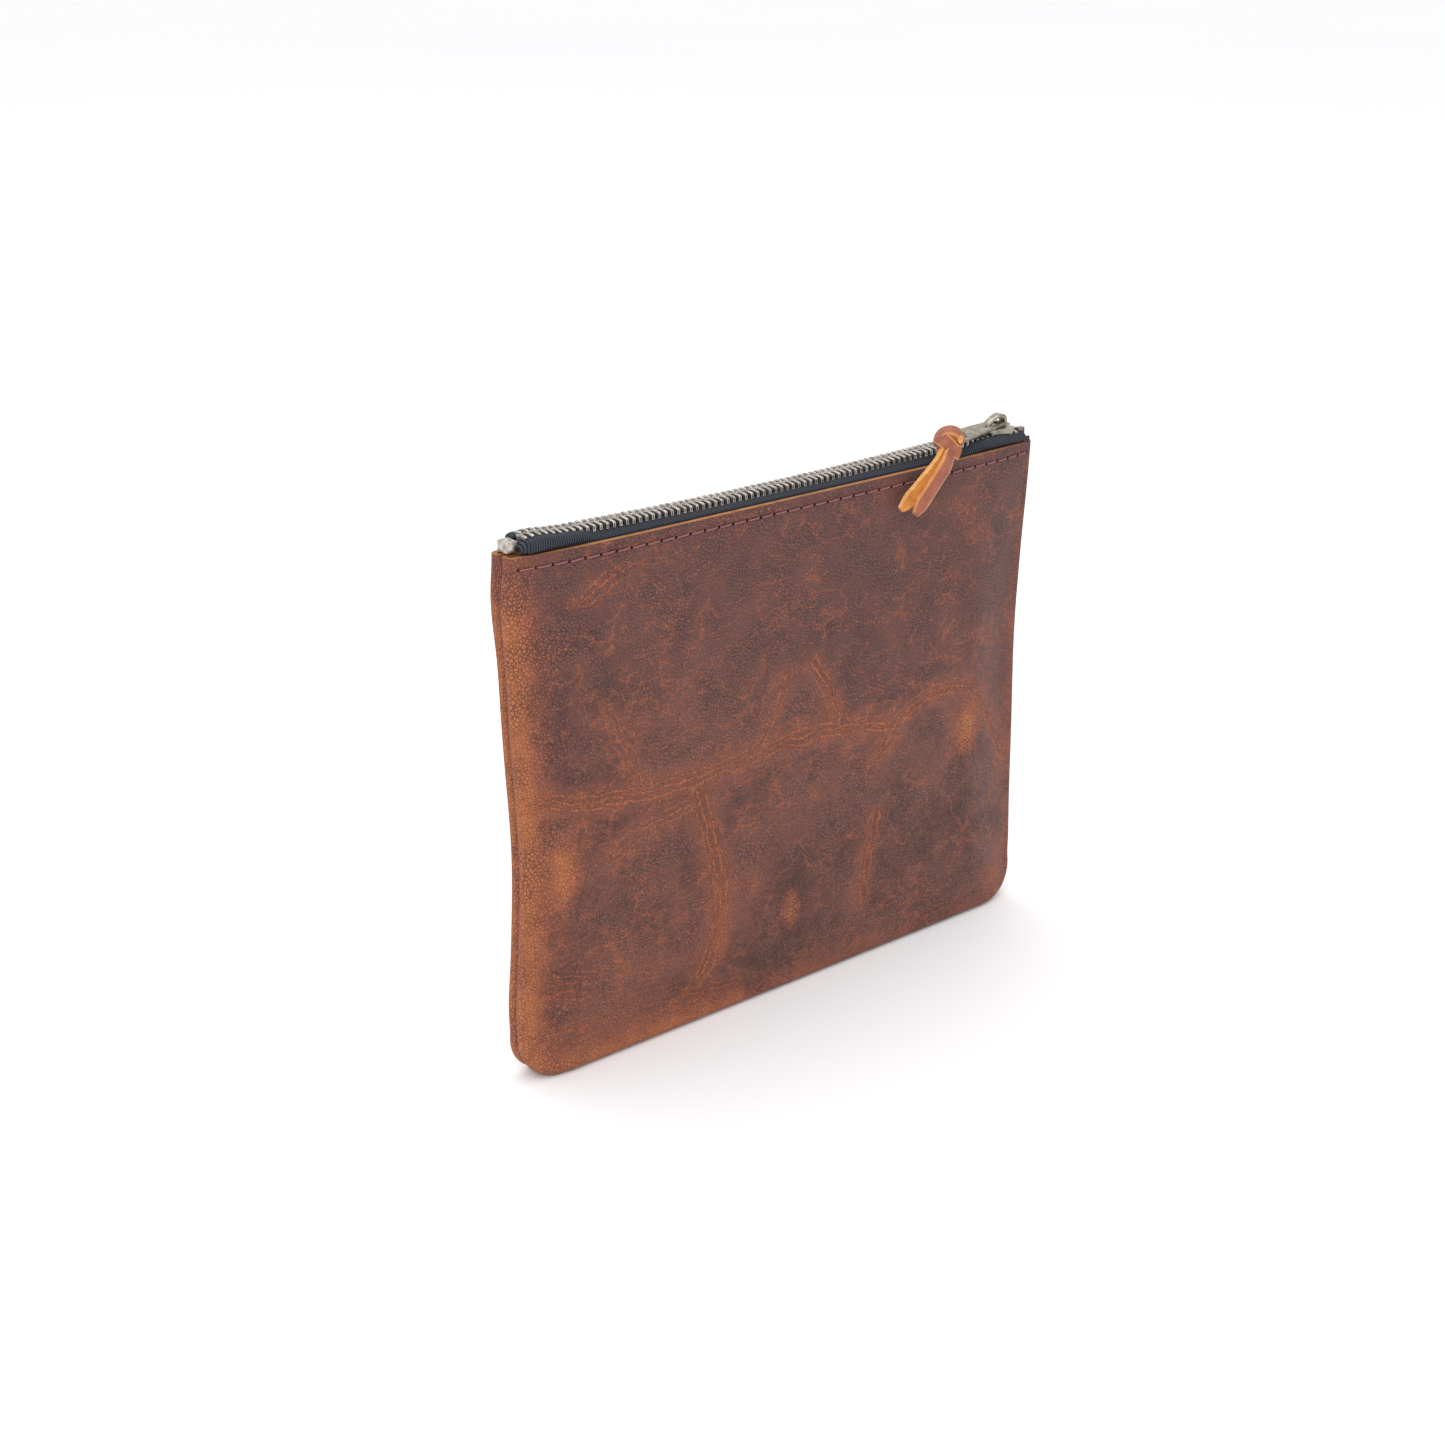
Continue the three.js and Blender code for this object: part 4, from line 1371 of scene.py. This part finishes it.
@dataclass
class LeatherPull:
    """The strip knotted on the tab's end bar, with its two hanging tails."""

    knot: Point = (62.465, -10.2, 179.4)
    bar: Point = (73.865, -3.2, 178.2)
    width: float = 5.2
    tail: float = 29

    rightward: Vector = field(default_factory=lambda: Vector((0.771, -0.637, 0)))
    upward: Vector = field(default_factory=lambda: Vector((0.218, 0.263, 0.940)))
    outward: Vector = field(default_factory=lambda: Vector((-0.593, -0.717, 0.367)))

    def _turned(self, right: float, up: float, out: float) -> Vector:
        """A way given from the knot's open side, in the pouch's own axes."""
        return self.rightward * right + self.upward * up + self.outward * out

    def _spot(self, right: float, up: float, out: float) -> Point:
        """A place beside the knot's middle, seen from its open side."""
        return tuple(Vector(self.knot) + self._turned(right, up, out))

    def _way(self, right: float, up: float, out: float) -> Point:
        """A direction seen from the knot's open side."""
        return tuple(self._turned(right, up, out).normalized())

    def _band(
        self, stops: Sequence[tuple[Point, Point]], width: float, thickness: float, bow: float
    ) -> Strip:
        """A band of the knot.

        Args:
            stops: Each place on its way and the way it faces there, seen from the open side.
            width: The band's width.
            thickness: The leather's thickness.
            bow: How far its edges curl in.

        Returns:
            The band.
        """
        path = [self._spot(*spot) for spot, _ in stops]
        faces = [self._way(*way) for _, way in stops]
        return Strip(path, faces, [width] * len(stops), thickness, bow)

    def _crossing(
        self, middle: tuple[float, float], half: Point, face: tuple[float, float], span: int
    ) -> list[tuple[Point, Point]]:
        """The stops of a band that crosses the knot's open side and goes round behind it.

        Args:
            middle: Where it crosses, to the right and up.
            half: Half of its ring's size to the right, up and out.
            face: How its face turns to the right and up towards its ends.
            span: Degrees from its middle to each of its ends.

        Returns:
            The stops.
        """
        stops = []
        for degrees in range(-span, span + 1, span // 5):
            along, out = math.sin(math.radians(degrees)), math.cos(math.radians(degrees))
            spot = (middle[0] + half[0] * along, middle[1] + half[1] * along, half[2] * out)
            stops.append((spot, (face[0] * along, face[1] * along, out)))
        return stops

    def _front_band(self) -> Strip:
        """The band that crosses the knot's open side, down to the right."""
        stops = self._crossing((-0.8, -0.7), (3.3, -3.15, 4.4), (0.726, -0.688), 130)
        return self._band(stops, 4.7, 1.4, 0.55)

    def _top_band(self) -> Strip:
        """The band that goes over the top of the knot and down its right side."""
        stops = [
            ((-4.2, -1.2, 0.2), (-0.9, 0.2, 0.4)),
            ((-4.3, 1.6, 0.9), (-0.8, 0.45, 0.45)),
            ((-2.6, 3.9, 1.6), (-0.4, 0.75, 0.55)),
            ((0.2, 4.6, 1.9), (0.0, 0.75, 0.65)),
            ((2.9, 4.0, 1.8), (0.4, 0.65, 0.65)),
            ((4.4, 2.2, 0.9), (0.85, 0.25, 0.45)),
            ((4.2, -0.6, -0.6), (0.9, -0.2, 0.3)),
        ]
        return self._band(stops, 4.8, 1.3, 0.4)

    def _fold(self) -> Strip:
        """The small open fold where the strip comes out of the knot, seen from its edge."""
        stops = []
        for degrees in range(-30, 331, 40):
            right, up = math.cos(math.radians(degrees)), math.sin(math.radians(degrees))
            stops.append(((3.6 + 1.25 * right, 0.9 + 1.75 * up, 1.2), (right, up, 0.25)))
        return self._band(stops, 3.6, 0.75, 0)

    def _under_band(self) -> Strip:
        """The band that holds the tails, below the front band."""
        stops = self._crossing((0.2, -1.9), (3.9, -1.6, 2.9), (0.9, -0.3), 110)
        return self._band(stops, 4.6, 1.2, 0.4)

    def _tail(self, lean: float, layer: float, length: float, twist: float, side: int) -> Strip:
        """A tail that hangs from under the knot in front of the panel.

        Args:
            lean: Its angle below the level in degrees.
            layer: How far it lies in front of the panel's side of the knot.
            length: Its length.
            twist: How far it turns about itself towards its tip, in degrees.
            side: 1 with its grain out and -1 with its flesh side out.

        Returns:
            The tail.
        """
        c, s = math.cos(math.radians(lean)), math.sin(math.radians(lean))
        path, faces, widths = [], [], []
        for step in range(8):
            t = step / 7
            out = -1.2 - layer - 2.2 * min(1, t / 0.3) + 0.7 * t * t
            x, y, z = self.knot
            path.append((x - c * length * t, y + out, z - s * length * t))
            turn = math.radians(twist * t)
            face = Vector((math.sin(turn) * s, -math.cos(turn), math.sin(turn) * c)) * side
            faces.append(tuple(face))
            widths.append(self.width * (0.78 + 0.22 * min(1, t / 0.2)) * (1 if step < 7 else 0.5))
        return Strip(path, faces, widths, 1.5, 0.25)

    def build(self, *finishes: bpy.types.Material) -> Piece:
        """Models the loop round the bar, the knot's bands and the tails.

        Args:
            finishes: The grain side's, the flesh side's and the cut edge's materials.

        Returns:
            The whole pull.
        """
        x, y, z = self.bar
        upper = [(-9.6, 1.6), (-2.6, 1.3), (0, 1.4), (1.2, 0.9)]
        lower = [(1.2, -0.8), (0, -1.25), (-2.6, -0.9), (-9.6, 0.2)]
        ring = [*upper, (1.45, 0), *lower]
        loop_path, loop_faces = [], []
        for dx, dz in ring:
            pull = min(0, dx + 0.6)
            loop_path.append((x + dx, y + pull * 0.62, z + dz))
            loop_faces.append((max(dx, 0) + 0.05, 0, dz))
        parts = [
            Strip(loop_path, loop_faces, [4.4, 3.6, 3.2, 3.2, 3.2, 3.2, 3.2, 3.6, 4.4], 0.8),
            self._front_band(),
            self._top_band(),
            self._fold(),
            self._under_band(),
            self._tail(38.5, -1.5, self.tail, 8, -1),
            self._tail(48.0, 1.75, self.tail - 2, -6, 1),
        ]
        built = [part.build(f"strip_{k}", finishes) for k, part in enumerate(parts)]
        core = Piece.ball("core", self.knot, (7.0, 5.6, 6.4)).smooth(60).dress(finishes[1])
        return Piece.joined("knotted_leather_pull", [*built, core])


# ---- Sewing --------------------------------------------------------------------------------


@dataclass
class Stitching:
    """Rows of single stitches, with their needle holes."""

    form: Form
    pitch: float = 5.5
    gap: float = 0.9
    radius: float = 0.27
    drop: float = 3.6
    margin: float = 3.4
    bow: float = 0.3

    def _stitch(self, length: float) -> Piece:
        """Models one stitch: a short thread that dips at both ends."""
        stitch = Piece.rod("stitch", length, self.radius)
        with stitch.editing():
            stitch.pick_edges(lambda middle, way: abs(way.x) > 0.9)
            bpy.ops.mesh.subdivide(number_cuts=7)

        def dip(spots: np.ndarray) -> np.ndarray:
            """Bows the thread outwards and tightens its ends."""
            t = np.abs(spots[:, 0]) / (length / 2)
            thin = 1 - 0.35 * t**6
            bowed = np.outer(self.bow * (1 - t**4), (0, 1, 0))
            return spots * np.stack([np.ones_like(t), thin, thin], 1) - bowed

        return stitch.reshape(dip)

    def _hole(self) -> Piece:
        """Models one needle hole: a small oval pit."""
        hole = Piece.rod("hole", 0.12, 0.5, 10)
        with hole.editing():
            bpy.ops.mesh.select_all(action="SELECT")
            bpy.ops.transform.rotate(value=math.pi / 2, orient_axis="Z", center_override=(0, 0, 0))
            hole.pick(lambda centre, normal: normal.y < -0.9)
            bpy.ops.mesh.inset(thickness=0.12 * MM)
            hole.pull((0, 0.1, 0))
        return hole

    def _line(self, name: str, spots: Sequence[Vector], side: float, thread: object, pit: object) -> Piece:
        """Sews stitches from spot to spot.

        Args:
            name: The sewn line's name.
            spots: Needle holes in millimetres, in order.
            side: Sign of the way that the stitches face along Y.
            thread: The thread's material.
            pit: The needle holes' material.

        Returns:
            All the stitches and holes as one piece.
        """
        flip = Matrix.Identity(4) if side < 0 else Matrix.Rotation(math.pi, 4, "Z")
        threads, holes = [], []
        for first, last in zip(spots, spots[1:]):
            way = last - first
            middle = (first + last) / 2
            angle = math.atan2(way.z, way.x) + math.radians(3)
            yaw = math.atan2(way.y, math.hypot(way.x, way.z)) * math.copysign(1, way.x)
            length = way.length / (self.pitch)
            turn = Matrix.Rotation(-angle, 4, "Y") @ Matrix.Rotation(yaw, 4, "Z")
            scale = Matrix.Diagonal((length, 1, 1, 1))
            threads.append(Matrix.Translation(middle * MM) @ turn @ flip @ scale)
        for spot in spots:
            holes.append(Matrix.Translation(spot * MM) @ flip)
        sewn = self._stitch(self.pitch - self.gap).repeated("threads", threads).dress(thread)
        pits = self._hole().repeated("pits", holes).dress(pit)
        return Piece.joined(name, [sewn, pits]).smooth(60)

    def top_line(self, side: Side, inside: bool, thread: object, pit: object) -> Piece:
        """Sews the line under the raw top edge.

        Args:
            side: The panel that it is on.
            inside: Whether it is the bobbin side, on the tape in the pocket.
            thread: The thread's material.
            pit: The needle holes' material.

        Returns:
            The sewn line.
        """
        end = self.form.width / 2 - self.margin if not inside else 98
        count = round(2 * end / self.pitch)
        x = np.linspace(-end, end, count + 1)
        z = np.full(x.shape, self.form.height - self.drop)
        depth = self.form.face_depth(np.minimum(self.form.width / 2 - np.abs(x), 30), x, z)
        depth += -self.form.leather - 1.15 if inside else 0.05
        x = x * self.form.side_line(z) + self.form.outline_shift(x, z)
        spots = [Vector((a, side.value * b, c)) for a, b, c in zip(x, depth, z)]
        outward = -side.value if inside else side.value
        word = "bobbin" if inside else "needle"
        return self._line(f"{side.word}_{word}_stitches", spots, outward, thread, pit)

    def seam_line(self, thread: object) -> Piece:
        """Sews the small stitches that bridge the groove of the side and bottom seam."""
        form = self.form
        deep, radius = 0.95, form.corner - 0.95
        heights = np.linspace(form.height - 3, form.corner, 48)
        side = [(form.width / 2 - deep, z) for z in heights]
        turns = np.linspace(0, np.pi / 2, 7)[1:]
        centre = form.width / 2 - form.corner
        corner = [(centre + radius * math.cos(a), form.corner - radius * math.sin(a)) for a in turns]
        foot = [(x, deep) for x in np.linspace(centre, 0, 30)[1:]]
        half = [*side, *corner, *foot]
        line = np.array([*half, *[(-x, z) for x, z in half[-2::-1]]])
        x = line[:, 0] * form.side_line(line[:, 1]) + form.outline_shift(line[:, 0], line[:, 1])
        spots = [Vector((a, 0, c)) for a, c in zip(x, line[:, 1])]
        turns = []
        for first, last in zip(spots, spots[1:]):
            way = last - first
            angle = math.atan2(way.z, way.x)
            size = way.length / self.pitch * 0.98
            place = Matrix.Translation((first + last) / 2 * MM)
            turns.append(place @ Matrix.Rotation(-angle, 4, "Y") @ Matrix.Diagonal((size, 0.6, 0.9, 1)))
        return self._stitch(self.pitch).repeated("seam_stitches", turns).dress(thread).smooth(60)


# ---- Studio --------------------------------------------------------------------------------


@dataclass
class Studio:
    """The floor, the lights and the camera."""

    azimuth: float = -39.57
    elevation: float = 21.55
    distance: float = 704.6
    target: Point = (-25.1, 0, 100.0)
    lens: float = 54.8
    floor_size: float = 30000

    def _back(self) -> Vector:
        """The way from the target to the camera."""
        a, e = math.radians(self.azimuth), math.radians(self.elevation)
        return Vector((math.sin(a) * math.cos(e), -math.cos(a) * math.cos(e), math.sin(e)))

    def set_camera(self) -> None:
        """Stands the camera where the pouch fills the view as wanted."""
        camera = bpy.data.objects.new("camera", bpy.data.cameras.new("camera"))
        bpy.context.scene.collection.objects.link(camera)
        camera.data.lens, camera.data.sensor_width = self.lens, 36
        camera.data.clip_start, camera.data.clip_end = 0.01, 100
        camera.location = (Vector(self.target) + self._back() * self.distance) * MM
        camera.rotation_euler = (-self._back()).to_track_quat("-Z", "Y").to_euler()
        bpy.context.scene.camera = camera

    def lay_floor(self) -> None:
        """Lays the pale floor."""
        floor = Piece.grid("floor", 2, 2).reshape(lambda flat: flat * MM * self.floor_size / 2)
        white = PlainMatt("studio_floor", (0.93, 0.93, 0.94), (0.91, 0.91, 0.93), 900)
        floor.dress(white.material())

    def _lamp(self, name: str, place: Point, size: float, power: float, colour: Colour) -> None:
        """Hangs a square soft light that faces the pouch."""
        lamp = bpy.data.objects.new(name, bpy.data.lights.new(name, "AREA"))
        bpy.context.scene.collection.objects.link(lamp)
        lamp.data.size, lamp.data.energy, lamp.data.color = size, power, colour
        lamp.location = place
        way = Vector((0, 0, 0.09)) - Vector(place)
        lamp.rotation_euler = way.to_track_quat("-Z", "Y").to_euler()

    def light(self) -> None:
        """Fills the room with soft light from all round and a little more from above."""
        world = bpy.data.worlds.new("studio")
        world.use_nodes = True
        shade = world.node_tree.nodes["Background"]
        shade.inputs["Color"].default_value = (1, 1, 1, 1)
        shade.inputs["Strength"].default_value = 1.06
        bpy.context.scene.world = world
        bpy.context.scene.view_settings.view_transform = "Standard"
        self._lamp("key", (-1.0, -0.7, 1.3), 0.9, 8, (1, 0.99, 0.97))
        self._lamp("top", (0.2, 0.6, 1.7), 1.4, 7, (0.98, 0.99, 1))


# ---- Everything in order -------------------------------------------------------------------


def main() -> None:
    """Builds the studio and every piece of the pouch."""
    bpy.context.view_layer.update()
    studio = Studio()
    studio.set_camera()
    studio.light()
    studio.lay_floor()

    form = Form()
    leather = PanelLeather().material()
    flesh = FibrousLeather("flesh_side", (0.42, 0.20, 0.085), (0.22, 0.09, 0.035)).material()
    cut = FibrousLeather("cut_edge", (0.46, 0.21, 0.075), (0.24, 0.095, 0.035), 0.4).material()
    strip_grain = StripGrain().material()
    strip_flesh = FibrousLeather("strip_flesh", (0.72, 0.30, 0.07), (0.38, 0.13, 0.025), 0.4, 0.2).material()
    strip_cut = FibrousLeather("strip_cut_edge", (0.80, 0.42, 0.16), (0.50, 0.20, 0.05), 0.3).material()
    weave = TapeWeave().material()
    nickel = AntiqueNickel("zip_teeth", (0.58, 0.54, 0.49), (0.20, 0.18, 0.16), 0.34, 0.7).material()
    bronze = AntiqueNickel("slider_metal", (0.38, 0.34, 0.28), (0.13, 0.11, 0.085), 0.32, 0.55).material()
    thread = SewingThread().material()
    pit = PlainMatt("needle_hole", (0.012, 0.005, 0.004), (0.006, 0.003, 0.002), 0.6).material()

    sewing = Stitching(form)
    halves = ((Side.FRONT, FRONT_CREASES, FRONT_PATCHES), (Side.BACK, BACK_CREASES, BACK_PATCHES))
    for side, creases, patches in halves:
        word = side.word
        panel = Panel(side, form, creases, patches).build(leather, flesh, cut)
        panel.attach_half(side, form, "panel_leather", f"{word}_panel")
        tape = Tape(side, form).build().dress(weave)
        tape.attach_half(side, form, "zip_tape", f"{word}_tape")
        teeth = ToothRow(side, form).build().dress(nickel)
        teeth.attach_half(side, form, "zip_teeth", f"{word}_teeth")
        stop = Stops(form).build_top(side).dress(bronze)
        stop.attach_half(side, form, "zip_teeth", f"{word}_top_stop")
        needle = sewing.top_line(side, False, thread, pit)
        needle.attach_half(side, form, "thread", f"{word}_needle_thread")
        bobbin = sewing.top_line(side, True, thread, pit)
        bobbin.attach_half(side, form, "thread", f"{word}_bobbin_thread")
    sewing.seam_line(thread).attach("pouch", "thread", "seam_thread")
    Stops(form).build_bottom().dress(nickel).attach("pouch", "zip_teeth", "bottom_stop")

    slider = Slider()
    slider.build("slider_metal", "slider_body").dress(bronze).attach("slider", "slider_metal", "slider_body")
    slider.build_tab().dress(bronze).attach("pull_tab", "slider_metal", "pull_tab")
    pull = LeatherPull().build(strip_grain, strip_flesh, strip_cut)
    pull.attach("leather_pull", "strip_leather", "leather_pull")


if __name__ == "__main__":
    logging.basicConfig(level=logging.INFO, format="%(message)s")
    main()
